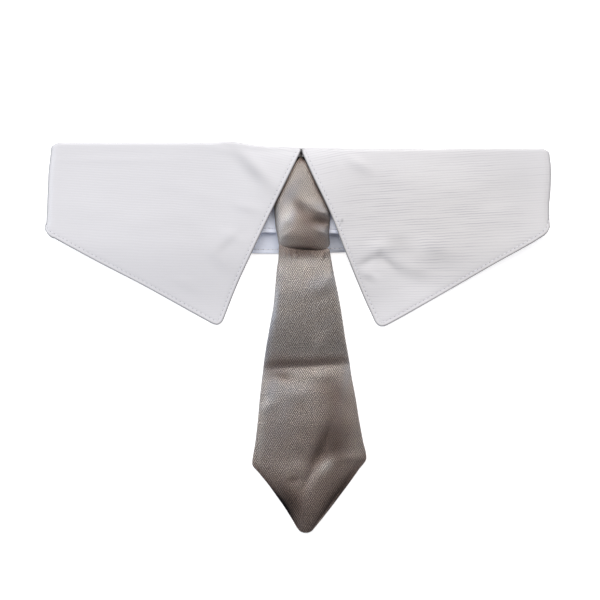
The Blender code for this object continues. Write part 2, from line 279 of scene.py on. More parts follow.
# Soft folds: a middle, the turn of the fold in degrees, its half length and half width, its height
FRONT_LEAF_FOLDS = table(
    "x     y      turn  long  wide height",
    (-18.5, 13.0, -47, 11.0, 2.8, 0.85),
    (-16.0, 4.5, -60, 5.0, 1.8, 0.30),
    (-21.0, -3.5, -16, 6.0, 2.2, 0.30),
    (-28.8, -15.3, -25, 5.0, 2.0, 0.30),
    (-35.0, -24.0, -45, 6.0, 2.4, 0.35),
    (-46.6, -35.7, -27, 6.0, 2.2, 0.25),
    (-77.7, 16.8, 0, 26.0, 1.3, 0.12),
    (-62.0, -8.0, 12, 20.0, 6.0, 0.30),
    (-88.0, -4.0, -8, 14.0, 5.0, 0.22),
    (-47.0, 4.0, -20, 12.0, 4.0, 0.20),
    (-32.0, 21.0, -12, 7.0, 1.6, 0.30),
    (24.5, 15.0, -30, 5.5, 2.2, 0.70),
    (15.0, 15.0, -62, 5.0, 1.6, 0.25),
    (33.5, -20.0, 12, 6.0, 3.0, 0.90),
    (28.6, -25.4, 22, 4.4, 1.3, -0.50),
    (36.6, -26.2, -38, 4.0, 1.4, -0.50),
    (41.5, -19.5, 4, 6.0, 2.2, 0.30),
    (27.6, -30.8, -16, 3.0, 1.4, 0.40),
    (27.4, -34.0, -16, 3.0, 1.2, -0.20),
    (57.0, -20.0, -20, 9.0, 3.4, 0.55),
    (47.0, -29.5, -30, 8.0, 3.4, 0.50),
    (17.2, -8.0, 62, 1.2, 0.5, 0.30),
    (62.0, 4.0, 10, 18.0, 5.0, 0.30),
    (84.0, -6.0, 24, 12.0, 4.5, 0.25),
    (44.0, 8.0, -8, 10.0, 4.0, 0.22),
    (70.0, 19.0, 2, 16.0, 1.6, 0.16),
)
BACK_LEAF_TROUGHS = table(
    "x     y      turn  long  wide height",
    (-78.0, 6.0, 8, 18.0, 3.0, 0.22),
    (-40.0, -6.0, -14, 15.0, 2.6, 0.20),
    (-6.0, 8.0, 20, 12.0, 2.4, 0.24),
    (22.0, -10.0, -8, 14.0, 2.8, 0.18),
    (55.0, 4.0, 12, 16.0, 3.0, 0.24),
    (86.0, 8.0, -22, 12.0, 2.4, 0.20),
    (-62.0, 16.0, -4, 20.0, 1.6, 0.18),
    (40.0, 17.0, 5, 18.0, 1.6, 0.16),
)
STAND_FOLDS = table(
    "x     y      turn  long  wide height",
    (-14.0, -8.0, 70, 4.0, 1.6, 0.10),
    (-24.0, -10.5, 12, 7.0, 1.8, 0.10),
    (15.0, -8.5, -60, 4.0, 1.5, 0.10),
    (27.0, -10.0, -10, 7.0, 1.8, 0.10),
)
KNOT_FOLDS = table(
    "x     y      turn  long  wide height",
    (6.4, -3.4, -26, 6.0, 2.4, 0.50),
    (10.8, -5.6, -6, 3.4, 1.2, 0.50),
    (9.0, -9.4, -12, 4.5, 2.2, -0.55),
    (-1.0, -3.4, -40, 4.0, 2.4, -0.32),
    (-7.0, -9.8, 62, 6.5, 2.4, 0.50),
    (9.4, -13.6, -24, 3.2, 1.5, 0.50),
    (-6.8, -15.4, 42, 4.0, 1.5, 0.35),
    (-9.0, -4.0, 84, 8.0, 1.8, 0.30),
    (-2.6, 6.5, 62, 6.0, 2.0, 0.15),
    (8.0, 3.0, -62, 5.0, 1.6, -0.15),
    (12.2, -10.6, 14, 1.8, 0.7, 0.35),
    (12.0, -16.6, -10, 2.2, 0.8, 0.35),
    (-9.8, -18.6, -24, 1.6, 0.9, 0.35),
    (1.0, -21.0, 0, 13.0, 3.4, -0.60),
)
BLADE_FOLDS = table(
    "x     y      turn  long  wide height",
    (1.5, -24.6, -2, 9.0, 1.8, -0.20),
    (1.0, -39.5, 3, 20.0, 10.0, 0.62),
    (-6.4, -23.0, 84, 2.0, 0.6, 0.30),
    (-4.3, -23.4, 96, 2.4, 0.5, 0.32),
    (-1.6, -23.2, 80, 2.2, 0.6, 0.34),
    (4.8, -23.0, 98, 1.8, 0.6, 0.20),
    (9.4, -23.2, 74, 2.2, 0.7, 0.22),
    (11.5, -33.5, 70, 5.0, 2.4, 0.35),
    (8.5, -40.5, 24, 5.0, 2.6, -0.30),
    (-6.0, -50.0, -14, 6.0, 4.0, 0.20),
    (8.0, -59.0, 30, 4.0, 3.0, 0.30),
    (-10.0, -60.0, 10, 5.0, 3.0, -0.15),
    (2.0, -66.5, 4, 26.0, 2.2, 0.20),
    (9.0, -74.0, 8, 5.0, 2.6, 0.25),
    (-7.0, -74.8, -6, 5.0, 1.8, -0.25),
    (-13.0, -86.5, 30, 4.0, 2.4, 0.25),
    (15.5, -82.0, -58, 6.0, 3.0, -0.35),
    (0.0, -81.5, 22, 6.0, 3.0, 0.20),
    (11.0, -100.0, 76, 8.0, 2.2, -0.45),
    (17.0, -98.0, 80, 7.0, 3.2, 0.15),
    (-0.8, -102.0, -62, 3.0, 1.2, 0.22),
    (-1.6, -112.4, -40, 2.6, 2.0, 0.25),
    (-2.4, -117.8, 10, 3.0, 1.4, -0.28),
    (6.4, -108.0, 66, 7.0, 2.0, -0.40),
    (3.0, -117.5, 66, 4.5, 1.4, -0.40),
    (21.0, -108.4, 6, 5.0, 2.0, 0.25),
    (9.5, -113.0, 46, 6.0, 2.6, 0.28),
    (6.0, -120.0, 54, 6.0, 2.2, 0.18),
    (3.0, -131.0, 76, 6.0, 2.4, 0.16),
    (18.5, -127.0, 52, 22.0, 4.2, -1.50),
    (-12.5, -127.0, -54, 20.0, 3.0, -1.30),
)

# Soft patches of painted light and shade: their height is a share of lightness, or of the other cast of
# the cloth
LEAF_PAINTED_SHADING = table(
    "x     y      turn  long  wide height",
    (58.0, -14.0, -10, 46.0, 26.0, -0.05),
    (-20.5, 12.6, -46, 11.0, 2.6, -0.17),
    (-23.5, -4.0, -14, 5.0, 1.5, -0.05),
    (-31.0, -18.0, 42, 6.5, 1.8, -0.10),
    (-34.0, -24.0, -45, 16.0, 4.0, -0.03),
    (-46.0, -35.0, 0, 7.0, 2.0, -0.03),
    (24.0, 12.0, -26, 7.0, 3.0, -0.04),
    (27.4, -25.2, 25, 4.2, 1.3, -0.15),
    (32.8, -22.8, 72, 3.0, 1.6, -0.12),
    (36.8, -26.0, -40, 4.2, 1.6, -0.12),
    (31.0, -28.0, 4, 5.0, 1.8, 0.06),
    (47.0, -31.0, -16, 9.0, 2.6, -0.05),
    (57.0, -24.0, -20, 9.0, 4.0, -0.05),
    (29.4, -32.8, -20, 3.0, 1.3, -0.08),
    (17.0, -8.8, 62, 0.8, 0.3, -0.45),
    (16.0, -9.5, -50, 0.6, 0.3, -0.35),
    (0.7, 20.8, 68, 1.6, 0.25, -0.40),
    (0.05, 19.3, 90, 1.3, 0.45, -0.80),
    (46.0, -34.0, -30, 24.0, 8.0, 0.10),
    (50.0, -38.5, 30, 32.0, 6.0, 0.07),
    (31.5, -32.0, -20, 2.6, 1.6, 0.08),
    (40.5, -27.5, -30, 4.0, 2.2, -0.12),
    (49.0, -30.8, -10, 6.5, 2.4, -0.10),
    (40.0, -17.0, 0, 5.0, 3.0, -0.12),
    (50.5, -19.5, 0, 4.5, 3.0, 0.09),
    (90.0, 9.0, 0, 12.0, 10.0, -0.07),
    (40.0, 17.0, -3, 44.0, 6.0, 0.05),
)
LEAF_CASTS = table(
    "x     y      turn  long  wide height",
    (62.0, -10.0, 0, 60.0, 40.0, 0.9),
)
# Cloth that faces up and lies lower than this inside the collar's opening gets painted shade and painted
# cool fill light
DEEP_CLOTH = 3.0
INSIDE_PAINTED_SHADING = table(
    "x     y      turn  long  wide height",
    (-14.0, -17.0, 0, 12.0, 8.0, 0.05),
    (16.0, -17.0, 0, 6.0, 8.0, -0.20),
    (17.0, -21.4, 0, 6.0, 0.6, -0.35),
)
# Painted light and shade on the knot: shade along its seam, under the leaves' edges and at its top, light
# on its left side
KNOT_PAINTED_SHADING = table(
    "x     y      turn  long  wide height",
    (1.5, -20.6, -5, 13.0, 1.1, -0.62),
    (3.5, -17.2, -4, 9.0, 4.4, -0.46),
    (9.5, -9.0, -10, 4.5, 1.8, -0.44),
    (-1.0, -2.8, -60, 4.0, 2.4, -0.40),
    (3.5, -8.6, -16, 6.0, 4.4, -0.50),
    (-7.2, -10.0, 70, 8.0, 3.0, 0.62),
    (9.6, -13.6, -20, 2.2, 1.1, 0.12),
    (7.0, 3.0, -62, 5.0, 1.4, -0.18),
    (0.0, 17.8, 0, 5.0, 2.0, -0.80),
    (-5.3, 10.0, 65, 15.0, 0.8, -0.75),
    (6.4, 7.0, -64.5, 16.0, 0.8, -0.75),
)
# Painted cool reflection on the satin of the knot
KNOT_PAINTED_COOL_REFLECTION = table(
    "x     y      turn  long  wide height",
    (-4.5, 2.0, 62, 8.0, 2.6, 0.9),
    (8.6, -12.6, -24, 3.4, 1.8, 0.8),
    (-5.0, -8.0, 45, 5.0, 2.4, 1.0),
    (8.0, -3.6, -26, 4.0, 1.4, 0.8),
)
# Painted light and shade on the blade: shade under the knot's seam and at the turned edges of its point,
# light on its upper part
BLADE_PAINTED_SHADING = table(
    "x     y      turn  long  wide height",
    (1.5, -21.0, -2, 11.0, 2.8, -0.76),
    (1.5, -24.5, -2, 7.0, 3.0, -0.12),
    (-6.4, -22.4, 84, 1.5, 0.4, -0.30),
    (-4.2, -22.6, 98, 1.8, 0.4, -0.35),
    (-1.9, -22.4, 80, 1.6, 0.4, -0.30),
    (9.6, -22.6, 80, 1.6, 0.5, -0.25),
    (0.0, -31.0, 0, 20.0, 7.0, 0.34),
    (3.0, -40.0, 4, 20.0, 8.0, 0.34),
    (0.0, -50.0, 0, 20.0, 8.0, 0.24),
    (8.0, -41.0, 24, 5.0, 2.6, -0.18),
    (-13.0, -58.0, 79, 16.0, 1.4, 0.25),
    (18.0, -55.0, -79, 16.0, 1.4, 0.30),
    (7.5, -59.5, 60, 4.0, 2.0, 0.25),
    (2.0, -68.2, 4, 26.0, 2.0, -0.44),
    (-9.0, -66.6, 4, 7.0, 3.0, -0.18),
    (-8.0, -74.0, -20, 4.0, 2.0, -0.32),
    (-13.0, -73.0, 0, 4.0, 3.0, -0.12),
    (0.0, -102.0, 0, 24.0, 18.0, -0.25),
    (16.6, -124.0, 52.8, 24.0, 2.8, -0.66),
    (13.0, -121.5, 52.8, 18.0, 5.0, -0.28),
    (-11.1, -125.0, -54.6, 21.0, 2.0, -0.60),
    (-8.0, -122.5, -54.6, 16.0, 4.0, -0.30),
    (-10.4, -124.0, -53.3, 15.0, 1.1, -0.10),
    (-4.0, -126.0, -54, 9.0, 6.0, -0.28),
    (-3.6, -131.5, -54.6, 9.0, 2.4, -0.10),
    (2.0, -128.0, 0, 13.0, 14.0, -0.26),
    (-3.0, -117.8, 0, 3.0, 1.6, -0.25),
    (14.0, -101.0, 80, 14.0, 7.0, -0.50),
    (14.0, -81.0, -60, 8.0, 6.0, -0.38),
    (6.0, -109.0, 66, 9.0, 2.6, -0.30),
    (10.5, -112.0, 44, 5.0, 2.4, 0.55),
    (-14.5, -85.0, 30, 3.0, 2.2, 0.35),
    (-17.0, -96.0, 84, 16.0, 1.6, 0.30),
)
# Painted cool reflection on the satin of the blade, as along its left edge
BLADE_PAINTED_COOL_REFLECTION = table(
    "x     y      turn  long  wide height",
    (8.0, -35.0, 20, 7.0, 3.4, 0.9),
    (-12.0, -79.0, 84, 9.0, 3.0, 0.8),
    (-5.0, -80.0, 10, 8.0, 4.0, 0.4),
    (-13.0, -56.0, 79, 20.0, 1.6, 1.4),
    (19.0, -75.0, 80, 14.0, 1.6, 0.8),
    (-8.0, -92.0, 70, 12.0, 4.0, 0.5),
)
# Painted light on the stand, which lies in shade under the leaves
STAND_PAINTED_LIGHT = table(
    "x     y      turn  long  wide height",
    (0.0, -8.0, 0, 60.0, 20.0, 0.26),
)
# Painted cool fill light on the stand, which turns it to the cool white
STAND_PAINTED_COOL_LIGHT = table(
    "x     y      turn  long  wide height",
    (0.0, -8.0, 0, 60.0, 30.0, -1.0),
)


def read(rows, key, column, at):
    """A column's value at a place, on a smooth curve through the rows that never overshoots them."""
    x, y = rows[key], rows[column]
    steps = np.diff(x)
    slopes = np.diff(y) / steps
    product = slopes[:-1] * slopes[1:]
    total = slopes[:-1] + slopes[1:]
    inner = np.where(product > 0, 2 * product / np.where(total == 0, 1, total), 0)
    tangents = np.concatenate(([slopes[0]], inner, [slopes[-1]]))
    at = np.clip(at, x[0], x[-1])
    i = np.clip(np.searchsorted(x, at) - 1, 0, len(steps) - 1)
    t = (at - x[i]) / steps[i]
    return (
        y[i] * (1 + 2 * t) * (1 - t) ** 2
        + y[i + 1] * t**2 * (3 - 2 * t)
        + steps[i] * t * (1 - t) * (tangents[i] * (1 - t) - tangents[i + 1] * t)
    )


def ease(share):
    """0 to 1, level at both ends."""
    share = np.clip(share, 0, 1)
    return share * share * (3 - 2 * share)


def along(line, shares):
    """Points at the given shares of a polyline's length."""
    reach = np.concatenate(([0], np.cumsum(np.linalg.norm(np.diff(line, axis=0), axis=1))))
    at = np.asarray(shares) * reach[-1]
    return np.stack([np.interp(at, reach, line[:, 0]), np.interp(at, reach, line[:, 1])], axis=1)


def direction(side):
    return -1 if side == "left" else 1


def folds_at(folds, x, y):
    """Summed height of a table of soft folds at places in plan."""
    height = np.zeros_like(x)
    names = ("x", "y", "turn", "long", "wide", "height")
    for middle_x, middle_y, turn, half_length, half_width, rise in zip(*(folds[n] for n in names)):
        cos, sin = math.cos(math.radians(turn)), math.sin(math.radians(turn))
        lengthwise = (cos * (x - middle_x) + sin * (y - middle_y)) / half_length
        across = (cos * (y - middle_y) - sin * (x - middle_x)) / half_width
        height += rise * np.exp(-(lengthwise**2) - across**2)
    return height


def rows_from_edge(length, pitch):
    """Shares of a length, close together at its stitched start and evenly spaced beyond."""
    rest = np.linspace(EDGE_ROWS[-1], length, int((length - EDGE_ROWS[-1]) / pitch) + 2)
    return np.concatenate([EDGE_ROWS, rest[1:]]) / length


LEAF_SHARES_ACROSS = rows_from_edge(LEAF_WIDTH, FRONT_PITCH)
LEAF_SHARES_DOWN = 1 - rows_from_edge(LEAF_DEPTH, FRONT_PITCH)[::-1]
SHORT_COLUMNS = len(LEAF_SHARES_ACROSS) - 12
SHORT_COLUMN_ROWS = 4
STAND_SHARES_ACROSS = rows_from_edge(LEAF_WIDTH + LAP_END, BACK_PITCH)
STAND_SHARES_DOWN = 1 - rows_from_edge(STAND_DEPTH, FRONT_PITCH)[::-1]
BACK_SHARES = np.linspace(0, 1, int(2 * LEAF_WIDTH / BACK_PITCH))[1:-1]


def bend_line(side, y):
    """X of the line about which the cloth folds back at one side."""
    return read(SIDE_EDGE, "y", side, y) - direction(side) * (LEAF_BEND + WALL / 2)


def leaf_lift(x, y):
    """How far the knot under the leaves holds them up."""
    reach = (abs(x - KNOT_CENTRE) - LIFT_FULL_REACH) / (LIFT_END_REACH - LIFT_FULL_REACH)
    return read(LEAF_LIFT, "y", "height", y) * (1 - ease(reach))


def leaf_droop(y):
    """How far the points sink below the front layer, to the surface at their tips."""
    return (STACK_HEIGHT - WALL) * ease((DROOP_START - y) / DROOP_LENGTH)


def place(x, y, depth, side, angle, height=0.0):
    """Points of a layer: depth from the leaf inwards, and an angle of 0 in front, 180 at the back."""
    bend = LEAF_BEND - depth
    across = x + direction(side) * bend * math.sin(angle)
    up = STACK_MIDDLE + bend * math.cos(angle) + height
    return np.stack(np.broadcast_arrays(across, y, up), axis=-1)


def roll_rows():
    """Rise, depth and share of the lift for the rows from the inner leg over the roll."""
    rows = [(rise, 2 * ROLL_RADIUS, 0.0) for rise in INNER_LEG_RISES]
    for degrees in range(180, -1, -ROLL_STEP):
        turn = math.radians(degrees)
        share = (1 + math.cos(turn)) / 2
        rows.append((ROLL_RADIUS * math.sin(turn), 2 * ROLL_RADIUS * (1 - share), share))
    return np.array(rows).T


def leaf_column(outline, side, angle):
    """One line of the leaf, from its inner leg over the roll and down to its lower edge."""
    in_front = angle == 0
    rise, depth, share = roll_rows()
    x, y = outline[0]
    lift = leaf_lift(x, y) if in_front else 0.0
    rolled = place(x, y + rise, depth, side, angle, share * lift)
    x, y = outline[1:].T
    height = leaf_lift(x, y) - leaf_droop(y) if in_front else 0.0
    return np.concatenate([rolled, place(x, y, 0.0, side, angle, height)])


def straight_outline(side, top, bottom):
    """The line of a side fold or of the back, as an outline from shoulder to lower edge."""
    y = top + (bottom - top) * LEAF_SHARES_DOWN
    return np.stack([bend_line(side, y), y], axis=1)


def fold_ends(side):
    """Y of the shoulder and of the lower edge at a side fold, on the front and on the back."""
    x = bend_line(side, 0.0)
    return {
        "front": (read(TOP_EDGE, "x", "front", x) - SHOULDER_DROP, read(LOWER_EDGE[side], "x", "y", x)),
        "back": (read(TOP_EDGE, "x", "back", x) - SHOULDER_DROP, read(BACK_LOWER_EDGE, "x", "leaf", x)),
    }


def leaf_edges(side):
    """Front edge and lower edge of one front leaf, meeting in the middle of its rounded tip."""
    front_rows, lower_rows = FRONT_EDGE[side], LOWER_EDGE[side]
    y = np.linspace(front_rows["y"][-1], front_rows["y"][0], EDGE_SAMPLES)
    front = np.stack([read(front_rows, "y", "x", y), y], axis=1)
    tip = front[-1]
    x = np.linspace(tip[0], bend_line(side, fold_ends(side)["front"][1]), EDGE_SAMPLES)
    lower = np.stack([x, read(lower_rows, "x", "y", x)], axis=1)
    before = front[np.linalg.norm(front - tip, axis=1) > TIP_ROUNDING]
    after = lower[np.linalg.norm(lower - tip, axis=1) > TIP_ROUNDING]
    t = np.linspace(0, 1, 2 * TIP_STEPS + 1)[:, None]
    arc = (1 - t) ** 2 * before[-1] + 2 * t * (1 - t) * tip + t**2 * after[0]
    front = np.concatenate([before, arc[1 : TIP_STEPS + 1]])
    return front, np.concatenate([arc[TIP_STEPS:-1], after])


def front_leaf_columns(side):
    """Columns of one front leaf, from its front edge to the side fold, blended between its edges."""
    front_edge, lower_edge = leaf_edges(side)
    top_y, bottom_y = fold_ends(side)["front"]
    x = np.linspace(front_edge[0][0], bend_line(side, top_y), EDGE_SAMPLES)
    top_edge = np.stack([x, read(TOP_EDGE, "x", "front", x) - SHOULDER_DROP], axis=1)
    front_edge[0] = top_edge[0]
    down = LEAF_SHARES_DOWN[:, None]
    front = along(front_edge, LEAF_SHARES_DOWN)
    fold = straight_outline(side, top_y, bottom_y)
    tops = along(top_edge, LEAF_SHARES_ACROSS)
    bottoms = along(lower_edge, LEAF_SHARES_ACROSS)
    bottoms[-1] = fold[-1]
    columns = []
    for across, top, bottom in zip(LEAF_SHARES_ACROSS, tops, bottoms):
        outline = (
            (1 - across) * front
            + across * fold
            + (1 - down) * (top - (1 - across) * front[0] - across * fold[0])
            + down * (bottom - (1 - across) * front[-1] - across * fold[-1])
        )
        columns.append(leaf_column(outline, side, 0.0))
    return columns


def fold_columns(side):
    """Columns round one side fold, from the front towards the back, without the front's own."""
    ends = fold_ends(side)
    columns = []
    for degrees in range(FOLD_STEP, 181, FOLD_STEP):
        angle = math.radians(degrees)
        share = (1 - math.cos(angle)) / 2
        corner = FOLD_CORNER_DROP * math.sin(angle)
        top = ends["front"][0] + share * (ends["back"][0] - ends["front"][0]) - corner
        rise = FOLD_CORNER_RISE * math.sin(angle)
        bottom = ends["front"][1] + share * (ends["back"][1] - ends["front"][1]) + rise
        columns.append(leaf_column(straight_outline(side, top, bottom), side, angle))
    return columns


def back_columns():
    """Columns of the back of the leaf, from the left fold to the right fold, without the folds'."""
    left_x, right_x = bend_line("left", 0.0), bend_line("right", 0.0)
    columns = []
    for share in BACK_SHARES:
        x = left_x + share * (right_x - left_x)
        top = read(TOP_EDGE, "x", "back", x) - SHOULDER_DROP
        bottom = read(BACK_LOWER_EDGE, "x", "leaf", x)
        y = top + (bottom - top) * LEAF_SHARES_DOWN
        line = (1 - share) * bend_line("left", y) + share * bend_line("right", y)
        columns.append(leaf_column(np.stack([line, y], axis=1), "left", math.pi))
    return columns


def leaf_surface():
    """Middle surface of the leaf, one strip from the left point round the back to the right point."""
    return np.array(
        front_leaf_columns("left")
        + fold_columns("left")
        + back_columns()
        + fold_columns("right")[::-1]
        + front_leaf_columns("right")[::-1]
    )


def stand_top(x, layer):
    return read(TOP_EDGE, "x", layer, x) - SHOULDER_DROP - INNER_LEG - STAND_TOP_GAP


def stand_rows(top, bottom):
    return top + (bottom - top) * STAND_SHARES_DOWN


def stand_front_columns(side, laps_under):
    """Columns of one front half of the stand, from its end under the knot to the side fold."""
    end = -direction(side) * LAP_END
    turn = bend_line(side, 0.0)
    columns = []
    for share in STAND_SHARES_ACROSS:
        x = end + share * (turn - end)
        slope = (LAP_SLOPE_START - direction(side) * x) / (LAP_SLOPE_START - LAP_SLOPE_END)
        height = -LAYER_PITCH * ease(slope) if laps_under else 0.0
        ys = stand_rows(stand_top(x, "front"), read(STAND_FRONT_EDGE, "x", "y", x))
        lines = end + share * (bend_line(side, ys) - end)
        columns.append(place(lines, ys, LAYER_PITCH, side, 0.0, height))
    return columns


def stand_fold_columns(side):
    """Columns of the stand round one side fold, from the front towards the back."""
    x = bend_line(side, 0.0)
    front_top, back_top = stand_top(x, "front"), stand_top(x, "back")
    front_bottom = read(STAND_FRONT_EDGE, "x", "y", x)
    back_bottom = read(BACK_LOWER_EDGE, "x", "stand", x)
    columns = []
    for degrees in range(FOLD_STEP, 181, FOLD_STEP):
        angle = math.radians(degrees)
        share = (1 - math.cos(angle)) / 2
        top = front_top + share * (back_top - front_top) - STAND_CORNER_DROP * math.sin(angle)
        ys = stand_rows(top, front_bottom + share * (back_bottom - front_bottom))
        columns.append(place(bend_line(side, ys), ys, LAYER_PITCH, side, angle))
    return columns


def stand_back_columns():
    left_x, right_x = bend_line("left", 0.0), bend_line("right", 0.0)
    columns = []
    for share in BACK_SHARES:
        x = left_x + share * (right_x - left_x)
        ys = stand_rows(stand_top(x, "back"), read(BACK_LOWER_EDGE, "x", "stand", x))
        lines = (1 - share) * bend_line("left", ys) + share * bend_line("right", ys)
        columns.append(place(lines, ys, LAYER_PITCH, "left", math.pi))
    return columns


def stand_surface():
    """Middle surface of the stand: its left end lies under its right end at the centre of the front."""
    return np.array(
        stand_front_columns("left", laps_under=True)
        + stand_fold_columns("left")
        + stand_back_columns()
        + stand_fold_columns("right")[::-1]
        + stand_front_columns("right", laps_under=False)[::-1]
    )


def grid_faces(columns, rows):
    """Quads of a grid of points, whose numbers run down each column in turn."""
    number = np.arange(columns * rows).reshape(columns, rows)
    corners = (number[:-1, :-1], number[1:, :-1], number[1:, 1:], number[:-1, 1:])
    return np.stack([c.ravel() for c in corners], axis=1)


def mesh_from(name, points, faces):
    mesh = bpy.data.meshes.new(name)
    mesh.from_pydata((points * MM).tolist(), [], [list(map(int, f)) for f in faces])
    mesh.validate()
    return mesh


def grid_normals(grid):
    """Outward normals of the middle surface of a cloth."""
    columns, rows = grid.shape[:2]
    mesh = mesh_from("middle", grid.reshape(-1, 3), grid_faces(columns, rows))
    normals = np.empty(columns * rows * 3)
    mesh.vertex_normals.foreach_get("vector", normals)
    bpy.data.meshes.remove(mesh)
    return normals.reshape(grid.shape)


def distance_to(edge, grid):
    """Distance of every point of a grid from an edge, given as its points in order."""
    lengths = np.linalg.norm(np.diff(edge, axis=0), axis=1)
    reach = np.concatenate(([0], np.cumsum(lengths)))
    at = np.linspace(0, reach[-1], int(reach[-1] / EDGE_POINT_PITCH))
    dense = np.stack([np.interp(at, reach, edge[:, k]) for k in range(3)], axis=1)
    tree = kdtree.KDTree(len(dense))
    for i, point in enumerate(dense):
        tree.insert(point, i)
    tree.balance()
    found = [tree.find(point)[2] for point in grid.reshape(-1, 3)]
    return np.array(found).reshape(grid.shape[:2])


def rounded(distance):
    """Share of the wall left near a turned edge, so that the edge is round."""
    inside = np.clip(distance / EDGE_RADIUS, 0, 1)
    return np.sqrt(1 - (1 - inside) ** 2)


def stitched_shell(grid, inner_edge, settings):
    """Half the thickness of a cloth wall at each point, drawn in along its stitching and rounded at its
    edges, and each point's distance from the outline.
    """
    outline = np.concatenate([grid[0], grid[1:-1, -1], grid[-1][::-1]])
    to_outline = distance_to(outline, grid)
    to_edge = np.minimum(to_outline, distance_to(inner_edge, grid))
    margin = settings.stitch_margin / MM
    groove = settings.groove_depth / MM * np.exp(-(((to_outline - margin) / (0.25 * margin)) ** 2))
    puff = settings.edge_puff / MM * np.exp(-(((to_outline - margin / 2) / (margin / 3)) ** 2))
    half = (settings.wall / MM / 2 - groove + puff) * rounded(to_edge)
    return half, to_outline


def raised(grid, normals, folds_up, folds_in):
    """How far a cloth's folds raise its front layers, and press in its underside at the back."""
    x, y = grid[..., 0], grid[..., 1]
    faces_up = normals[..., 2] > 0.7
    faces_down = normals[..., 2] < -0.7
    up = np.where(faces_up, folds_at(folds_up, x, y), 0)
    pressed = np.where(faces_down, folds_at(folds_in, x, y), 0)
    return up, pressed


def leaf_layers(settings):
    """Outer and inner surface of the leaf, and the distance of its points from the stitched edge."""
    grid = leaf_surface()
    normals = grid_normals(grid)
    half, to_outline = stitched_shell(grid, grid[:, 0], settings)
    up, pressed = raised(grid, normals, FRONT_LEAF_FOLDS, BACK_LEAF_TROUGHS)
    half = half[..., None]
    middle = grid + (up * np.clip(to_outline / EDGE_ROWS[-1], 0, 1))[..., None] * normals
    outer = middle + normals * (half - (pressed * np.clip(to_outline - 2, 0, 1))[..., None])
    inner = middle - normals * half
    for layer in (outer, inner):
        layer[..., 2] = np.maximum(layer[..., 2], 0)
    return outer, inner, to_outline


def stand_layers(settings):
    """Outer and inner surface of the stand, and the distance of its points from its edges."""
    grid = stand_surface()
    normals = grid_normals(grid)
    half, to_outline = stitched_shell(grid, grid[:, 0], settings)
    up, pressed = raised(grid, normals, STAND_FOLDS, STAND_FOLDS)
    half = half[..., None]
    outer = grid + normals * (half - (up * np.clip(to_outline, 0, 1))[..., None])
    inner = grid - normals * (half - (pressed * np.clip(to_outline, 0, 1))[..., None])
    return outer, inner, to_outline


def stitch_line(surface, to_outline, margin):
    """Points of a surface at the stitching's margin from its edge, in order round the cloth."""
    columns, rows = to_outline.shape

    def crossing(line, distances):
        beyond = np.nonzero(distances >= margin)[0]
        if len(beyond) == 0 or beyond[0] == 0:
            return None
        i = beyond[0]
        t = (margin - distances[i - 1]) / (distances[i] - distances[i - 1])
        return line[i - 1] + t * (line[i] - line[i - 1])

    first_row = len(INNER_LEG_RISES) + 180 // ROLL_STEP
    last_edge = int(np.argmax(LEAF_SHARES_ACROSS * LEAF_WIDTH > EDGE_ROWS[-1]))
    near, far = slice(0, last_edge), slice(columns - 1, columns - 1 - last_edge, -1)
    short_columns = range(SHORT_COLUMNS, columns - SHORT_COLUMNS)

    def lowest(i):
        extra = SHORT_COLUMN_ROWS if i in short_columns else 0
        return slice(rows, rows - 1 - len(EDGE_ROWS) - extra, -1)

    left = [crossing(surface[near, j], to_outline[near, j]) for j in range(first_row, rows)]
    lower = [crossing(surface[i, lowest(i)], to_outline[i, lowest(i)]) for i in range(columns)]
    right = [crossing(surface[far, j], to_outline[far, j]) for j in range(rows - 1, first_row - 1, -1)]
    return np.array([p for p in left + lower + right if p is not None])


def lower_stitch_line(surface, to_outline, margin):
    """Points of a surface at the margin above its lower edge alone, from end to end."""
    rows = to_outline.shape[1]
    points = []
    for line, distances in zip(surface[:, ::-1], to_outline[:, ::-1]):
        beyond = np.nonzero(distances >= margin)[0]
        if len(beyond) and 0 < beyond[0] < rows // 2:
            i = beyond[0]
            t = (margin - distances[i - 1]) / (distances[i] - distances[i - 1])
            points.append(line[i - 1] + t * (line[i] - line[i - 1]))
    return np.array(points)


def knot_fall(x, y, middle, half):
    """How far the knot's mouth is drawn up at its corners, so that it ends in a curved seam."""
    share = np.clip((x - middle) / half, -0.8, 1)
    near_mouth = ease((-12.0 - y) / 8.4)
    return near_mouth * (1.2 * share**10 + 0.0065 * x * x - 0.1 * x - 0.2)


def knot_ring(y, inset, floor, thickness, settings, outside):
    """A flat-bottomed, crowned ring across the knot, with its folds on the outside."""
    left = read(KNOT_SECTIONS, "y", "left", y) + inset
    right = read(KNOT_SECTIONS, "y", "right", y) - inset
    middle, half = (left + right) / 2, (right - left) / 2
    edge = min(KNOT_EDGE_HEIGHT, KNOT_EDGE_SHARE * thickness)
    turn = np.linspace(0, 2 * math.pi, KNOT_RING_POINTS, endpoint=False)
    up = np.sin(turn)
    crown = (thickness - edge) * np.clip(up, 0, 1) ** KNOT_CROWN_POWER
    base = -edge * np.clip(-up, 0, 1) ** KNOT_BASE_POWER
    x = middle + half * np.cos(turn)
    z = floor + edge + np.where(up > 0, crown, base)
    if outside:
        z = z + settings.fold_strength * ease(up * 2.5) * folds_at(KNOT_FOLDS, x, np.full_like(x, y))
    return np.stack([x, y + knot_fall(x, y, middle, half), z], axis=1)


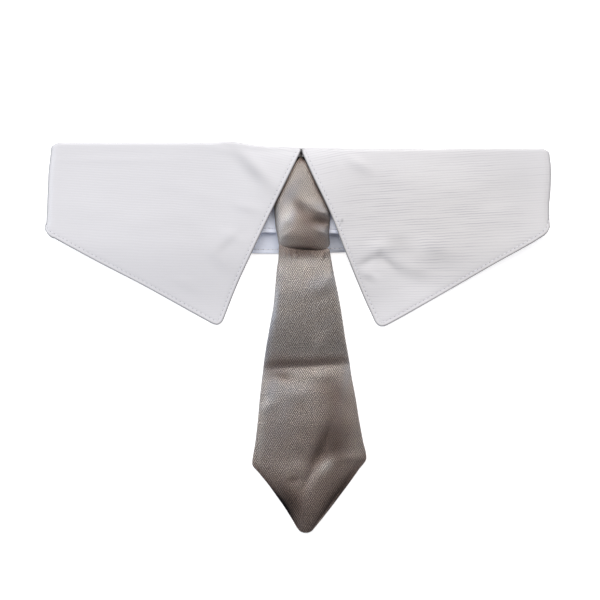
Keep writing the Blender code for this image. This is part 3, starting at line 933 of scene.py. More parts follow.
def knot_rings(settings):
    """Rings from the closed top of the knot down to its mouth, round its lip and up its hollow."""
    heights = KNOT_SECTIONS["y"]
    mouth, top = heights[0], heights[-1]

    def thickness(y):
        return read(KNOT_SECTIONS, "y", "thickness", y)

    straight_end = mouth + LIP_RADIUS
    outside = np.linspace(top, straight_end, int((top - straight_end) / KNOT_RING_PITCH))
    rings = [knot_ring(y, 0.0, KNOT_FLOOR, thickness(y), settings, True) for y in outside]
    hollow = KNOT_BACK_WALL + KNOT_FRONT_WALL
    last, inside_first = rings[-1], knot_ring(
        straight_end, KNOT_SIDE_WALL, KNOT_FLOOR + KNOT_BACK_WALL, thickness(straight_end) - hollow,
        settings, False,
    )
    for step in range(1, LIP_STEPS):
        turn = math.pi * step / LIP_STEPS
        share = (1 - math.cos(turn)) / 2
        ring = (1 - share) * last + share * inside_first
        ring[:, 1] -= LIP_RADIUS * math.sin(turn)
        rings.append(ring)
    rings.append(inside_first)
    for y in np.arange(straight_end + 1, KNOT_HOLLOW_TOP, 1.0):
        depth = max(thickness(y) - hollow, 0.3)
        rings.append(knot_ring(y, KNOT_SIDE_WALL, KNOT_FLOOR + KNOT_BACK_WALL, depth, settings, False))
    return rings


def blade_ring(station, wall, settings):
    """A flat ring of the folded blade, crowned above with its folds, or its hollow a wall inside it."""
    left_y, left_x, right_y, right_x, under, thickness = (
        read(BLADE_STATIONS, "station", name, station)
        for name in ("left_y", "left_x", "right_y", "right_x", "under", "thickness")
    )
    edge = min(BLADE_EDGE, thickness)
    across = np.linspace(-BLADE_SIDE, BLADE_SIDE, BLADE_ACROSS)
    crown = edge + (thickness - edge) * (1 - abs(across) ** BLADE_CROWN_POWER)
    round_turn = np.radians((-60, -30, 0, 30, 60))
    side_across = BLADE_SIDE + (1 - BLADE_SIDE) * np.cos(round_turn)
    side_height = crown[-1] / 2 * (1 + np.sin(round_turn))
    share = np.concatenate([across, side_across, across[::-1], -side_across[::-1]])
    height = np.concatenate([np.zeros(BLADE_ACROSS), side_height, crown[::-1], side_height[::-1]])
    t = (share + 1) / 2
    x = left_x + t * (right_x - left_x)
    y = left_y + t * (right_y - left_y)
    top = slice(BLADE_ACROSS + len(round_turn), 2 * BLADE_ACROSS + len(round_turn))
    hold = ease((1 - abs(share[top])) / 0.12) * ease((-20.6 - y[top]) / 1.2)
    lifted = settings.fold_strength * hold * folds_at(BLADE_FOLDS, x[top], y[top])
    height[top] += np.maximum(lifted, 2 * BLADE_WALL - crown[::-1])
    if wall:
        middle = (left_x + right_x) / 2
        half = (right_x - left_x) / 2
        x = middle + (x - middle) * (1 - wall / half)
        height = np.clip(height, wall, np.maximum(height - wall, wall))
    return np.stack([x, y, under + height], axis=1)


def blade_rings(settings):
    """Rings from the point of the blade up to its head in the knot, and back down inside it."""
    first, last = BLADE_STATIONS["station"][0], BLADE_STATIONS["station"][-1]
    stations = np.linspace(last, first, int((last - first) / BLADE_RING_PITCH))
    rings = [blade_ring(s, 0.0, settings) for s in stations]
    inner = [blade_ring(s, BLADE_WALL, settings) for s in stations[::-1][:-2]]
    return rings + inner


BLADE_STATIONS = dict(
    BLADE_SECTIONS, station=-(BLADE_SECTIONS["left_y"] + BLADE_SECTIONS["right_y"]) / 2
)


def shade_and_map(mesh, plan, painted_shades, casts):
    """Smooth shading, a cloth map in metres, and the soft patches of painted light and shade, and of
    colour cast, at each point.
    """
    mesh.shade_smooth()
    places = np.empty(len(mesh.vertices) * 3)
    mesh.vertices.foreach_get("co", places)
    x, y, z = places.reshape(-1, 3).T / MM
    on_top = np.clip(z / 0.8, 0, 1)
    for name, patches in (("painted_shading", painted_shades), ("cast", casts)):
        attribute = mesh.attributes.new(name, "FLOAT", "POINT")
        attribute.data.foreach_set("value", on_top * folds_at(patches, x, y))
    layer = mesh.uv_layers.new(name=CLOTH_UV)
    corners = np.empty(len(mesh.loops), dtype=np.int32)
    mesh.loops.foreach_get("vertex_index", corners)
    layer.uv.foreach_set("vector", (plan[corners] * MM).ravel())


def shade_edges(mesh, to_outline):
    """Paints shade on the turned edges and the rim of the leaf, and paints shade and a cool fill light
    inside the collar's opening.
    """
    count = len(mesh.vertices)
    places, normals = np.empty(count * 3), np.empty(count * 3)
    mesh.vertices.foreach_get("co", places)
    mesh.vertex_normals.foreach_get("vector", normals)
    z = places[2::3] / MM
    up = normals[2::3]
    inside = (up > 0.5) & (z < DEEP_CLOTH)
    painted_shading, cast = mesh.attributes["painted_shading"].data, mesh.attributes["cast"].data
    painted_shades, cast_values = np.empty(count), np.empty(count)
    painted_shading.foreach_get("value", painted_shades)
    cast.foreach_get("value", cast_values)
    places = places.reshape(-1, 3) / MM
    # Inside the opening the patches are painted shade, and the cast turns the cloth to the painted cool
    # fill light
    in_opening = inside & (abs(places[:, 0]) < 26) & (abs(places[:, 1] + 2) < 22)
    painted_shades = np.where(in_opening, folds_at(INSIDE_PAINTED_SHADING, *places.T[:2]), painted_shades)
    at_fold = ease(abs(places[:, 0]) - FOLD_START)
    painted_shades -= (1 - at_fold) * ROLL_SHADE * ease((0.8 - abs(up)) / 0.6)
    painted_shades -= at_fold * FOLD_SHADE * np.exp(-(((up - 0.3) / 0.28) ** 2))
    rim = RIM_SHADE * np.exp(-((to_outline.ravel() / RIM_WIDTH) ** 2))
    painted_shades[: len(rim)] -= rim
    painted_shading.foreach_set("value", painted_shades)
    cast.foreach_set("value", np.where(in_opening, -1.0, cast_values))


def link_piece(name, mesh, material):
    mesh.materials.append(material)
    thing = bpy.data.objects.new(name, mesh)
    bpy.context.scene.collection.objects.link(thing)
    return thing


def rib_bend(x, y):
    """How far the ribs of the front leaves run out of level: they climb outwards from the opening."""
    outwards = abs(x)
    climb = 0.055 * (outwards - 15) * ease((y + 34) / 24)
    opening = 3.0 * np.exp(-((outwards / 14) ** 2)) * ease((y + 16) / 24)
    return climb - opening


def cloth_plan(grid):
    """Place of every point on the cloth's own thread lines: along the strip, and up from its edge."""
    middle_row = grid[:, grid.shape[1] // 2]
    steps = np.linalg.norm(np.diff(middle_row, axis=0), axis=1)
    lengthwise = np.concatenate(([0], np.cumsum(steps)))
    x, y, z = np.moveaxis(grid, -1, 0)
    upwards = y - np.where(z > STACK_MIDDLE, rib_bend(x, y), 0)
    return np.stack([np.broadcast_to(lengthwise[:, None], x.shape), upwards], axis=-1)


def add_shell(name, outer, inner, material, painted_shades, casts):
    """A closed cloth shell between two grids that meet all round their edges."""
    columns, rows = outer.shape[:2]
    count = columns * rows
    faces = grid_faces(columns, rows)
    border = np.zeros((columns, rows), bool)
    border[[0, -1]] = True
    border[:, [0, -1]] = True
    twin = np.where(border.ravel(), np.arange(count), np.arange(count) + count)
    used = np.concatenate([np.arange(count), np.arange(count)[~border.ravel()] + count])
    renumber = np.full(2 * count, -1)
    renumber[used] = np.arange(len(used))
    points = np.concatenate([outer.reshape(-1, 3), inner.reshape(-1, 3)])
    plan = cloth_plan(outer).reshape(-1, 2)
    plan = np.concatenate([plan, plan])
    all_faces = np.concatenate([faces, renumber[twin[faces[:, ::-1]]]])
    mesh = mesh_from(name, points[used], all_faces)
    shade_and_map(mesh, plan[used], painted_shades, casts)
    return link_piece(name, mesh, material)


def add_pouch(name, rings, material, painted_shades, casts):
    """A closed wall through rings of as many points each: outside, lip, and back up the inside."""
    count = len(rings[0])
    points = np.concatenate(rings)
    i = np.arange(len(rings) - 1)[:, None] * count
    j = np.arange(count)[None]
    following = (j + 1) % count
    corners = (i + j, i + following, i + count + following, i + count + j)
    faces = [list(map(int, f)) for f in np.stack([c.ravel() for c in corners], axis=1)]
    last = (len(rings) - 1) * count
    faces.append(list(range(count))[::-1])
    faces.append(list(range(last, last + count)))
    mesh = mesh_from(name, points, faces)
    shade_and_map(mesh, points[:, :2], painted_shades, casts)
    thing = link_piece(name, mesh, material)
    turn_outwards(mesh)
    return thing


def turn_outwards(mesh):
    """Turns all faces of a closed mesh round if its volume comes out negative."""
    volume = 0.0
    for face in mesh.polygons:
        corners = [mesh.vertices[v].co for v in face.vertices]
        for second, third in zip(corners[1:-1], corners[2:]):
            volume += corners[0].dot(second.cross(third))
    if volume < 0:
        mesh.flip_normals()


def new_material(name):
    material = bpy.data.materials.new(name)
    material.use_nodes = True
    tree = material.node_tree
    return material, tree, tree.nodes["Principled BSDF"]


def add_node(tree, kind, settings=(), inputs=()):
    node = tree.nodes.new(kind)
    for key, value in dict(settings).items():
        setattr(node, key, value)
    for key, value in dict(inputs).items():
        node.inputs[key].default_value = value
    return node


def mix_colours(tree, factor, first, second):
    """A node that goes from one colour to another by a factor from another node."""
    mix = add_node(tree, "ShaderNodeMix", {"data_type": "RGBA"})
    colours = [socket for socket in mix.inputs if socket.type == "RGBA"]
    for socket, value in zip(colours, (first, second)):
        if isinstance(value, bpy.types.NodeSocket):
            tree.links.new(value, socket)
        else:
            socket.default_value = (*value, 1)
    tree.links.new(factor, mix.inputs[0])
    return next(socket for socket in mix.outputs if socket.type == "RGBA")


def cloth_coordinates(tree, turn=0.0, stretch=1.0):
    """The cloth map of the piece, turned by an angle in degrees or stretched along the strip."""
    source = add_node(tree, "ShaderNodeUVMap", {"uv_map": CLOTH_UV})
    inputs = {"Rotation": (0, 0, math.radians(turn)), "Scale": (1 / stretch, 1, 1)}
    mapping = add_node(tree, "ShaderNodeMapping", inputs=inputs)
    tree.links.new(source.outputs["UV"], mapping.inputs["Vector"])
    return mapping.outputs["Vector"]


def bands(tree, vector, across, pitch, distortion, detail_scale):
    """Soft parallel bands of a pitch in metres, slightly uneven."""
    wave = add_node(
        tree,
        "ShaderNodeTexWave",
        {"wave_type": "BANDS", "bands_direction": across},
        {"Scale": math.pi / 10 / pitch, "Distortion": distortion, "Detail": 2.0,
         "Detail Scale": detail_scale},
    )
    tree.links.new(vector, wave.inputs["Vector"])
    return wave.outputs["Fac"]


def noise(tree, vector, size, detail=2.0):
    """Even noise whose lumps are about a size in metres."""
    node = add_node(tree, "ShaderNodeTexNoise", inputs={"Scale": 1 / size, "Detail": detail})
    tree.links.new(vector, node.inputs["Vector"])
    return node.outputs["Fac"]


def maths(tree, operation, first, second):
    node = add_node(tree, "ShaderNodeMath", {"operation": operation})
    for socket, value in zip(node.inputs, (first, second)):
        if isinstance(value, bpy.types.NodeSocket):
            tree.links.new(value, socket)
        else:
            socket.default_value = value
    return node.outputs[0]


def attribute(tree, name):
    return add_node(tree, "ShaderNodeAttribute", {"attribute_name": name}).outputs["Fac"]


def with_painted_shading(tree, colour):
    """A colour made lighter or darker by the piece's soft patches of painted light and shade."""
    scaled = add_node(tree, "ShaderNodeVectorMath", {"operation": "SCALE"})
    tree.links.new(colour, scaled.inputs[0])
    tree.links.new(maths(tree, "ADD", attribute(tree, "painted_shading"), 1.0), scaled.inputs["Scale"])
    return scaled.outputs["Vector"]


def bump(tree, height, distance, strength=1.0):
    node = add_node(tree, "ShaderNodeBump", inputs={"Distance": distance, "Strength": strength})
    tree.links.new(height, node.inputs["Height"])
    return node.outputs["Normal"]


def poplin_material(settings):
    """White ribbed poplin: slightly wavy ribs along the strip, fine yarns, and a soft unevenness."""
    material, tree, shader = new_material("white poplin")
    plane = cloth_coordinates(tree)
    ribs = bands(tree, plane, "Y", settings.rib_pitch, 2.2, 0.4)
    yarns = bands(tree, plane, "X", settings.rib_pitch / 3, 2.0, 1.0)
    solid = add_node(tree, "ShaderNodeTexCoord").outputs["Object"]
    clouds = noise(tree, solid, 0.035, 3.0)
    slubs = noise(tree, solid, 0.0016, 2.0)
    base = mix_colours(tree, clouds, tuple(settings.white_shade), tuple(settings.white))
    base = mix_colours(tree, attribute(tree, "cast"), base, tuple(settings.white_warm))
    # Painted cool fill light: where the cast is negative, the cloth turns to a lighter, bluer white
    painted_cool = maths(tree, "MULTIPLY", attribute(tree, "cast"), -1.0)
    base = mix_colours(tree, painted_cool, base, tuple(settings.white_painted_cool_fill))
    uneven = maths(tree, "POWER", noise(tree, solid, 0.022, 2.0), 2.0)
    contrast = maths(tree, "ADD", maths(tree, "MULTIPLY", attribute(tree, "cast"), 0.85), 0.12)
    lines = maths(tree, "POWER", ribs, 3.0)
    streaks = noise(tree, cloth_coordinates(tree, stretch=14.0), settings.rib_pitch * 1.3, 1.0)
    lines = maths(tree, "MULTIPLY", lines, maths(tree, "MULTIPLY", streaks, streaks))
    shade = maths(tree, "MULTIPLY", maths(tree, "MULTIPLY", lines, uneven), contrast)
    colour = mix_colours(tree, maths(tree, "MULTIPLY", shade, 9.5), base, tuple(settings.rib_shade))
    tree.links.new(with_painted_shading(tree, colour), shader.inputs["Base Color"])
    relief = maths(tree, "ADD", maths(tree, "MULTIPLY", yarns, 0.25), ribs)
    relief = maths(tree, "ADD", relief, maths(tree, "MULTIPLY", slubs, 0.6))
    tree.links.new(bump(tree, relief, settings.rib_depth, 0.8), shader.inputs["Normal"])
    shader.inputs["Roughness"].default_value = 0.82
    shader.inputs["Specular IOR Level"].default_value = 0.3
    shader.inputs["Sheen Weight"].default_value = 0.12
    shader.inputs["Sheen Roughness"].default_value = 0.5
    return material


def satin_material(settings):
    """Taupe satin: a fine diagonal twill with brighter threads, and a metallic sheen."""
    material, tree, shader = new_material("taupe satin")
    pitch = settings.twill_pitch
    rising = bands(tree, cloth_coordinates(tree, settings.twill_turn), "X", pitch, 1.8, 1.2)
    falling = bands(tree, cloth_coordinates(tree, -settings.twill_turn), "X", pitch, 1.8, 1.2)
    plane = cloth_coordinates(tree)
    sway = maths(tree, "SUBTRACT", noise(tree, plane, 0.005, 2.0), 0.5)
    lean = maths(tree, "MULTIPLY", sway, 2.6)
    rising = maths(tree, "MULTIPLY", rising, maths(tree, "ADD", 0.8, lean))
    falling = maths(tree, "MULTIPLY", falling, maths(tree, "SUBTRACT", 0.8, lean))
    grain = noise(tree, plane, pitch * 0.6, 1.0)
    patches = noise(tree, plane, 0.006, 3.0)
    twill = maths(tree, "ADD", rising, falling)
    threads = maths(tree, "ADD", twill, maths(tree, "MULTIPLY", grain, 3.0))
    threads = maths(tree, "SUBTRACT", threads, 1.85)
    weave = mix_colours(tree, threads, tuple(settings.satin_dark), tuple(settings.satin_light))
    # Painted cool reflection: noise patches and the cast tables turn the satin towards its cool colour
    painted_cool = maths(tree, "MULTIPLY", maths(tree, "ADD", patches, attribute(tree, "cast")), 0.35)
    colour = mix_colours(tree, painted_cool, weave, tuple(settings.satin_cool))
    # Painted shade turns warmer towards SHADE_WARMTH as it darkens
    dimmed = maths(tree, "MULTIPLY", attribute(tree, "painted_shading"), -1.0)
    warmed = add_node(tree, "ShaderNodeVectorMath", {"operation": "MULTIPLY"})
    tree.links.new(with_painted_shading(tree, colour), warmed.inputs[0])
    tree.links.new(mix_colours(tree, dimmed, (1, 1, 1), SHADE_WARMTH), warmed.inputs[1])
    tree.links.new(warmed.outputs["Vector"], shader.inputs["Base Color"])
    tree.links.new(bump(tree, threads, settings.twill_depth, 0.9), shader.inputs["Normal"])
    shader.inputs["Metallic"].default_value = 0.85
    shader.inputs["Roughness"].default_value = 0.4
    shader.inputs["Sheen Weight"].default_value = 0.05
    return material


def thread_material(name, colour_of_thread):
    """White sewing thread, with a fine twist."""
    material, tree, shader = new_material(name)
    solid = add_node(tree, "ShaderNodeTexCoord").outputs["Object"]
    twist = noise(tree, solid, 0.0004, 1.0)
    pale = tuple(colour_of_thread)
    colour = mix_colours(tree, twist, tuple(0.86 * c for c in pale), pale)
    tree.links.new(colour, shader.inputs["Base Color"])
    tree.links.new(bump(tree, twist, 0.00003), shader.inputs["Normal"])
    shader.inputs["Roughness"].default_value = 0.6
    return material


def floor_material(settings):
    material, tree, shader = new_material("pale floor")
    solid = add_node(tree, "ShaderNodeTexCoord").outputs["Object"]
    colour = mix_colours(
        tree, noise(tree, solid, 0.4), tuple(0.99 * c for c in settings.floor), tuple(settings.floor)
    )
    tree.links.new(colour, shader.inputs["Base Color"])
    shader.inputs["Roughness"].default_value = 0.9
    shader.inputs["Specular IOR Level"].default_value = 0.1
    shader.inputs["Emission Color"].default_value = (1, 1, 1, 1)
    shader.inputs["Emission Strength"].default_value = settings.floor_glow
    return material


def stitch_tree(settings):
    """Geometry nodes that lay one rounded stitch at every pitch of a line."""
    tree = bpy.data.node_groups.new("stitches along a line", "GeometryNodeTree")
    face = tree.interface
    face.new_socket("Geometry", in_out="INPUT", socket_type="NodeSocketGeometry")
    for name in ("Pitch", "Stitch length", "Thread diameter"):
        face.new_socket(name, in_out="INPUT", socket_type="NodeSocketFloat")
    for name in ("Thread", "Hole shade"):
        face.new_socket(name, in_out="INPUT", socket_type="NodeSocketMaterial")
    face.new_socket("Geometry", in_out="OUTPUT", socket_type="NodeSocketGeometry")
    link = tree.links.new
    entry = tree.nodes.new("NodeGroupInput").outputs
    leave = tree.nodes.new("NodeGroupOutput").inputs
    to_curve = tree.nodes.new("GeometryNodeMeshToCurve")
    resample = add_node(tree, "GeometryNodeResampleCurve", {"mode": "LENGTH"})
    link(entry["Geometry"], to_curve.inputs["Mesh"])
    link(to_curve.outputs["Curve"], resample.inputs["Curve"])
    link(entry["Pitch"], resample.inputs["Length"])
    both = tree.nodes.new("GeometryNodeJoinGeometry")
    # Each stitch is a thread grain, with a flattened dark grain half a pitch on: painted shade in the
    # needle hole
    for length, width, height, shift, name in (
        (entry["Stitch length"], 1.0, 1.0, 0.0, "Thread"),
        (entry["Thread diameter"], 0.9, 0.5, 0.5, "Hole shade"),
    ):
        size = tree.nodes.new("ShaderNodeCombineXYZ")
        link(length, size.inputs["X"])
        link(maths(tree, "MULTIPLY", entry["Thread diameter"], width), size.inputs["Y"])
        link(maths(tree, "MULTIPLY", entry["Thread diameter"], height), size.inputs["Z"])
        place_at = tree.nodes.new("ShaderNodeCombineXYZ")
        link(maths(tree, "MULTIPLY", entry["Pitch"], shift), place_at.inputs["X"])
        grain = add_node(
            tree, "GeometryNodeMeshUVSphere", inputs={"Segments": 8, "Rings": 6, "Radius": 0.5}
        )
        shaped = tree.nodes.new("GeometryNodeTransform")
        link(grain.outputs["Mesh"], shaped.inputs["Geometry"])
        link(place_at.outputs["Vector"], shaped.inputs["Translation"])
        link(size.outputs["Vector"], shaped.inputs["Scale"])
        finish = tree.nodes.new("GeometryNodeSetMaterial")
        link(shaped.outputs["Geometry"], finish.inputs["Geometry"])
        link(entry[name], finish.inputs["Material"])
        link(finish.outputs["Geometry"], both.inputs["Geometry"])
    tangent = tree.nodes.new("GeometryNodeInputTangent")
    turn = add_node(tree, "FunctionNodeAlignRotationToVector", {"axis": "X"})
    link(tangent.outputs["Tangent"], turn.inputs["Vector"])
    uneven = add_node(tree, "FunctionNodeRandomValue", {"data_type": "FLOAT"})
    floats = [s for s in uneven.inputs if s.type == "VALUE"]
    floats[0].default_value = 0.85
    floats[1].default_value = 1.1
    uneven.inputs["Seed"].default_value = settings.seed
    random_value = next(s for s in uneven.outputs if s.type == "VALUE")
    spread = tree.nodes.new("GeometryNodeInstanceOnPoints")
    link(resample.outputs["Curve"], spread.inputs["Points"])
    link(both.outputs["Geometry"], spread.inputs["Instance"])
    link(turn.outputs["Rotation"], spread.inputs["Rotation"])
    link(random_value, spread.inputs["Scale"])
    realise = tree.nodes.new("GeometryNodeRealizeInstances")
    link(spread.outputs["Instances"], realise.inputs["Geometry"])
    link(realise.outputs["Geometry"], leave["Geometry"])
    return tree


def sew(name, lines, settings, thread, hole_shade):
    """Stitches along lines of points, as one plain mesh."""
    points = np.concatenate(lines)
    starts = np.cumsum([0] + [len(line) for line in lines])
    edges = [(i, i + 1) for a, b in zip(starts[:-1], starts[1:]) for i in range(a, b - 1)]
    mesh = bpy.data.meshes.new(name + "_line")
    mesh.from_pydata((points * MM).tolist(), edges, [])
    line = bpy.data.objects.new(name + "_line", mesh)
    bpy.context.scene.collection.objects.link(line)
    tree = stitch_tree(settings)
    modifier = line.modifiers.new("stitches", "NODES")
    modifier.node_group = tree
    values = {
        "Pitch": settings.stitch_pitch,
        "Stitch length": settings.stitch_length,
        "Thread diameter": settings.thread_diameter,
        "Thread": thread,
        "Hole shade": hole_shade,
    }
    for item in tree.interface.items_tree:
        if item.name in values and item.in_out == "INPUT":
            modifier[item.identifier] = values[item.name]
    evaluated = line.evaluated_get(bpy.context.evaluated_depsgraph_get())
    sewn_mesh = bpy.data.meshes.new_from_object(evaluated)
    sewn_mesh.name = name
    bpy.data.objects.remove(line, do_unlink=True)
    if len(sewn_mesh.polygons) == 0:
        raise RuntimeError(f"{name}: no stitches were made")
    sewn_mesh.shade_smooth()
    thing = bpy.data.objects.new(name, sewn_mesh)
    bpy.context.scene.collection.objects.link(thing)
    return thing


def cached_material(name, make, settings):
    return bpy.data.materials.get(name) or make(settings)


def finish_piece(thing, node=None):
    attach(thing, "root")
    if node:
        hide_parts(node)


class CollarSettings(bpy.types.PropertyGroup):
    """Sizes and colours of the white cloth and its stitching."""

    wall: bpy.props.FloatProperty(
        name="Wall", description="Thickness of the cloth with its lining", default=0.001, unit="LENGTH"
    )
    stitch_margin: bpy.props.FloatProperty(
        name="Stitch margin", description="Distance of the stitching from the edge",
        default=0.0017, unit="LENGTH",
    )
    stitch_pitch: bpy.props.FloatProperty(
        name="Stitch pitch", description="Distance from stitch to stitch", default=0.002, unit="LENGTH"
    )
    stitch_length: bpy.props.FloatProperty(
        name="Stitch length", description="Visible length of a stitch", default=0.0014, unit="LENGTH"
    )
    thread_diameter: bpy.props.FloatProperty(
        name="Thread diameter", description="Diameter of the thread", default=0.0004, unit="LENGTH"
    )
    groove_depth: bpy.props.FloatProperty(
        name="Groove depth", description="How far the stitching draws the cloth in",
        default=0.00014, unit="LENGTH",
    )
    edge_puff: bpy.props.FloatProperty(
        name="Edge puff", description="How far the turned edge stands proud", default=0.00003,
        unit="LENGTH",
    )
    rib_pitch: bpy.props.FloatProperty(
        name="Rib pitch", description="Distance from rib to rib of the weave", default=0.00105,
        unit="LENGTH",
    )
    rib_depth: bpy.props.FloatProperty(
        name="Rib depth", description="Depth of the ribs", default=0.00002, unit="LENGTH"
    )
    white: bpy.props.FloatVectorProperty(
        name="White", description="Lightest colour of the cloth", subtype="COLOR",
        default=(0.74, 0.735, 0.75), min=0, max=1,
    )
    white_warm: bpy.props.FloatVectorProperty(
        name="Warm white", description="Colour that the cloth takes towards the right", subtype="COLOR",
        default=(0.735, 0.715, 0.70), min=0, max=1,
    )
    # Painted cool fill light, for the cloth that lies in shade inside the collar
    white_painted_cool_fill: bpy.props.FloatVectorProperty(
        name="Cool white", description="Colour that the cloth takes inside the collar", subtype="COLOR",
        default=(0.77, 0.82, 0.93), min=0, max=1,
    )
    rib_shade: bpy.props.FloatVectorProperty(
        name="Between ribs", description="Colour of the fine lines between the ribs", subtype="COLOR",
        default=(0.56, 0.545, 0.56), min=0, max=1,
    )
    white_shade: bpy.props.FloatVectorProperty(
        name="White in shade", description="Darkest colour of the cloth", subtype="COLOR",
        default=(0.70, 0.69, 0.705), min=0, max=1,
    )
    thread: bpy.props.FloatVectorProperty(
        name="Thread", description="Colour of the sewing thread", subtype="COLOR",
        default=(0.80, 0.80, 0.83), min=0, max=1,
    )
    # Painted shade in the needle holes between the stitches
    hole_shade: bpy.props.FloatVectorProperty(
        name="Needle hole shade", description="Colour of the dips between the stitches", subtype="COLOR",
        default=(0.33, 0.33, 0.38), min=0, max=1,
    )
    seed: bpy.props.IntProperty(name="Seed", description="Choice of the uneven stitches", default=7)


class TieSettings(bpy.types.PropertyGroup):
    """Colours and weave of the satin."""

    satin_light: bpy.props.FloatVectorProperty(
        name="Light threads", description="Colour of the raised threads", subtype="COLOR",
        default=(0.53, 0.475, 0.41), min=0, max=1,
    )
    satin_dark: bpy.props.FloatVectorProperty(
        name="Dark threads", description="Colour of the sunk threads", subtype="COLOR",
        default=(0.10, 0.08, 0.070), min=0, max=1,
    )
    satin_cool: bpy.props.FloatVectorProperty(
        name="Cool cast", description="Colour that the sheen takes in places", subtype="COLOR",
        default=(0.27, 0.285, 0.32), min=0, max=1,
    )
    twill_pitch: bpy.props.FloatProperty(
        name="Twill pitch", description="Distance between the diagonal lines", default=0.00077,
        unit="LENGTH",
    )
    twill_depth: bpy.props.FloatProperty(
        name="Twill depth", description="Depth of the weave", default=0.00006, unit="LENGTH"
    )
    twill_turn: bpy.props.FloatProperty(
        name="Twill turn", description="Turn of the diagonal lines, in degrees", default=32.0
    )
    fold_strength: bpy.props.FloatProperty(
        name="Fold strength", description="Share of the drawn folds that is applied", default=1.0
    )


class StageSettings(bpy.types.PropertyGroup):
    """Floor, light and camera."""

    floor: bpy.props.FloatVectorProperty(
        name="Floor", description="Colour of the floor", subtype="COLOR",
        default=(0.97, 0.97, 0.97), min=0, max=1,
    )
    floor_glow: bpy.props.FloatProperty(
        name="Floor glow", description="Light from below that clears the shadows on the floor",
        default=0.5,
    )
    floor_size: bpy.props.FloatProperty(
        name="Floor size", description="Side of the square floor", default=6.0, unit="LENGTH"
    )
    key_power: bpy.props.FloatProperty(
        name="Key light", description="Power of the large light beyond the fold", default=34.0,
        unit="POWER",
    )
    fill_power: bpy.props.FloatProperty(
        name="Fill light", description="Power of the cool light at the left", default=1.6,
        unit="POWER",
    )
    sky: bpy.props.FloatProperty(
        name="Sky", description="Strength of the even light all round", default=0.62
    )
    sky_overhead: bpy.props.FloatProperty(
        name="Sky overhead", description="Strength of the even light straight above", default=0.2
    )
    frame_width: bpy.props.FloatProperty(
        name="Frame width", description="Width of the picture at the collar", default=0.252,
        unit="LENGTH",
    )
    lens: bpy.props.FloatProperty(name="Lens", description="Focal length", default=200.0, unit="CAMERA")


class MakeLeaf(bpy.types.Operator):
    """Makes the falling leaf of the collar."""

    bl_idname = "collar.leaf"
    bl_label = "Make the leaf"

    def execute(self, context):
        settings = context.scene.collar_cloth
        outer, inner, to_outline = leaf_layers(settings)
        material = cached_material("white poplin", poplin_material, settings)
        thing = add_shell("leaf_cloth", outer, inner, material, LEAF_PAINTED_SHADING, LEAF_CASTS)
        shade_edges(thing.data, to_outline)
        finish_piece(thing, "collar_leaf")
        return {"FINISHED"}


class MakeStand(bpy.types.Operator):
    """Makes the neck band inside the collar."""

    bl_idname = "collar.stand"
    bl_label = "Make the stand"

    def execute(self, context):
        settings = context.scene.collar_cloth
        outer, inner, _ = stand_layers(settings)
        material = cached_material("white poplin", poplin_material, settings)
        thing = add_shell("stand_cloth", outer, inner, material, STAND_PAINTED_LIGHT, STAND_PAINTED_COOL_LIGHT)
        finish_piece(thing, "collar_stand")
        return {"FINISHED"}


class MakeStitching(bpy.types.Operator):
    """Sews the topstitching of the leaf and of the stand, on both of their faces."""

    bl_idname = "collar.stitching"
    bl_label = "Sew the stitching"

    def execute(self, context):
        settings = context.scene.collar_cloth
        margin = settings.stitch_margin / MM
        thread = thread_material("white thread", settings.thread)
        # The needle holes get a dark thread colour as painted shade
        hole_shade = thread_material("needle hole shade", settings.hole_shade)
        outer, inner, to_outline = leaf_layers(settings)
        lines = [stitch_line(face, to_outline, margin) for face in (outer, inner)]
        leaf_stitches = sew("leaf_stitches", lines, settings, thread, hole_shade)
        outer, inner, to_outline = stand_layers(settings)
        lines = [lower_stitch_line(face, to_outline, margin) for face in (outer, inner)]
        stand_stitches = sew("stand_stitches", lines, settings, thread, hole_shade)
        for thing in (leaf_stitches, stand_stitches):
            finish_piece(thing)
        return {"FINISHED"}


class MakeTie(bpy.types.Operator):
    """Makes the flattened satin knot and the folded blade that comes out of it."""

    bl_idname = "collar.tie"
    bl_label = "Make the tie"

    def execute(self, context):
        settings = context.scene.collar_tie
        material = cached_material("taupe satin", satin_material, settings)
        knot = add_pouch("knot_satin", knot_rings(settings), material, KNOT_PAINTED_SHADING, KNOT_PAINTED_COOL_REFLECTION)
        finish_piece(knot, "tie_knot")
        blade = add_pouch("blade_satin", blade_rings(settings), material, BLADE_PAINTED_SHADING, BLADE_PAINTED_COOL_REFLECTION)
        finish_piece(blade, "tie_blade")
        return {"FINISHED"}


def area_light(name, place_at, aim_at, size, power, colour):
    light = bpy.data.lights.new(name, "AREA")
    light.shape = "RECTANGLE"
    light.size, light.size_y = size
    light.energy = power
    light.color = colour
    thing = bpy.data.objects.new(name, light)
    thing.location = place_at
    thing.rotation_euler = (Vector(aim_at) - Vector(place_at)).to_track_quat("-Z", "Y").to_euler()
    thing.visible_camera = False
    bpy.context.scene.collection.objects.link(thing)


def light_the_sky(tree, settings):
    """Even cool light from all round, dimmer and warmer overhead and towards the points of the collar."""
    background = tree.nodes["Background"]
    direction_out = add_node(tree, "ShaderNodeTexCoord").outputs["Generated"]
    towards = add_node(tree, "ShaderNodeVectorMath", {"operation": "DOT_PRODUCT"})
    towards.inputs[1].default_value = Vector((0.1, -0.35, 0.93)).normalized()
    tree.links.new(direction_out, towards.inputs[0])
    fade = add_node(
        tree,
        "ShaderNodeMapRange",
        {"interpolation_type": "SMOOTHSTEP"},
        {"From Min": math.cos(math.radians(55)), "From Max": math.cos(math.radians(15))},
    )
    tree.links.new(towards.outputs["Value"], fade.inputs["Value"])
    around = tuple(settings.sky * c for c in (0.86, 0.93, 1.04))
    overhead = tuple(settings.sky_overhead * c for c in (1.12, 0.92, 0.84))
    colour = mix_colours(tree, fade.outputs["Result"], around, overhead)
    tree.links.new(colour, background.inputs["Color"])


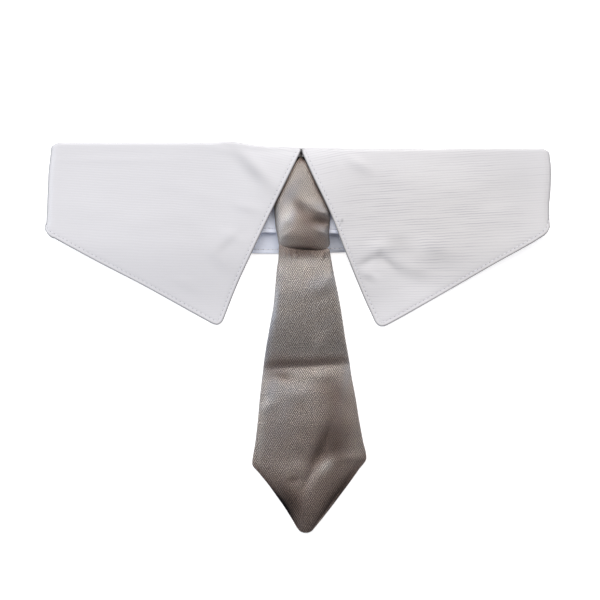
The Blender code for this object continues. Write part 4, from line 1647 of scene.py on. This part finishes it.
class MakeStage(bpy.types.Operator):
    """Makes the floor, the lights and the camera straight above."""

    bl_idname = "collar.stage"
    bl_label = "Make the stage"

    def execute(self, context):
        scene = context.scene
        settings = scene.collar_stage
        half = settings.floor_size / 2
        mesh = bpy.data.meshes.new("floor")
        corners = [(x * half, y * half, -0.0001) for x, y in ((-1, -1), (1, -1), (1, 1), (-1, 1))]
        mesh.from_pydata(corners, [], [(0, 1, 2, 3)])
        floor = link_piece("floor", mesh, floor_material(settings))
        key_colour, fill_colour = (1.03, 0.985, 0.94), (0.78, 0.87, 1)
        aim = (0, -0.035, 0)
        area_light("key", (0.02, 1.2, 1.6), aim, (2.2, 1.5), settings.key_power, key_colour)
        area_light("fill", (-0.75, -0.05, 0.5), aim, (0.5, 0.7), settings.fill_power, fill_colour)
        world = bpy.data.worlds.new("studio")
        world.use_nodes = True
        light_the_sky(world.node_tree, settings)
        scene.world = world
        camera = bpy.data.cameras.new("camera")
        camera.lens = settings.lens
        camera.clip_end = 20
        holder = bpy.data.objects.new("camera", camera)
        distance = settings.frame_width / camera.sensor_width * camera.lens
        holder.location = (-0.00042, -0.042, distance + 0.005)
        scene.collection.objects.link(holder)
        scene.camera = holder
        scene.view_settings.view_transform = "Standard"
        return {"FINISHED"}


class CollarPanel(bpy.types.Panel):
    """Lists the pieces of the collar and their settings."""

    bl_idname = "VIEW3D_PT_shirt_collar"
    bl_label = "Shirt collar with tie"
    bl_space_type = "VIEW_3D"
    bl_region_type = "UI"
    bl_category = "Collar"

    def draw(self, context):
        for operator in OPERATORS:
            self.layout.operator(operator.bl_idname)
        for group in (context.scene.collar_cloth, context.scene.collar_tie, context.scene.collar_stage):
            box = self.layout.box()
            for name in group.bl_rna.properties.keys():
                if name not in ("rna_type", "name"):
                    box.prop(group, name)


SETTINGS = {"collar_cloth": CollarSettings, "collar_tie": TieSettings, "collar_stage": StageSettings}
OPERATORS = (MakeLeaf, MakeStand, MakeStitching, MakeTie, MakeStage)


def register():
    for name, group in SETTINGS.items():
        bpy.utils.register_class(group)
        setattr(bpy.types.Scene, name, bpy.props.PointerProperty(type=group))
    for kind in (*OPERATORS, CollarPanel):
        bpy.utils.register_class(kind)


def unregister():
    for kind in (CollarPanel, *OPERATORS[::-1]):
        bpy.utils.unregister_class(kind)
    for name, group in SETTINGS.items():
        delattr(bpy.types.Scene, name)
        bpy.utils.unregister_class(group)


def main():
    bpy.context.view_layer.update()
    register()
    bpy.ops.collar.leaf()
    bpy.ops.collar.stand()
    bpy.ops.collar.stitching()
    bpy.ops.collar.tie()
    bpy.ops.collar.stage()


if __name__ == "__main__":
    main()
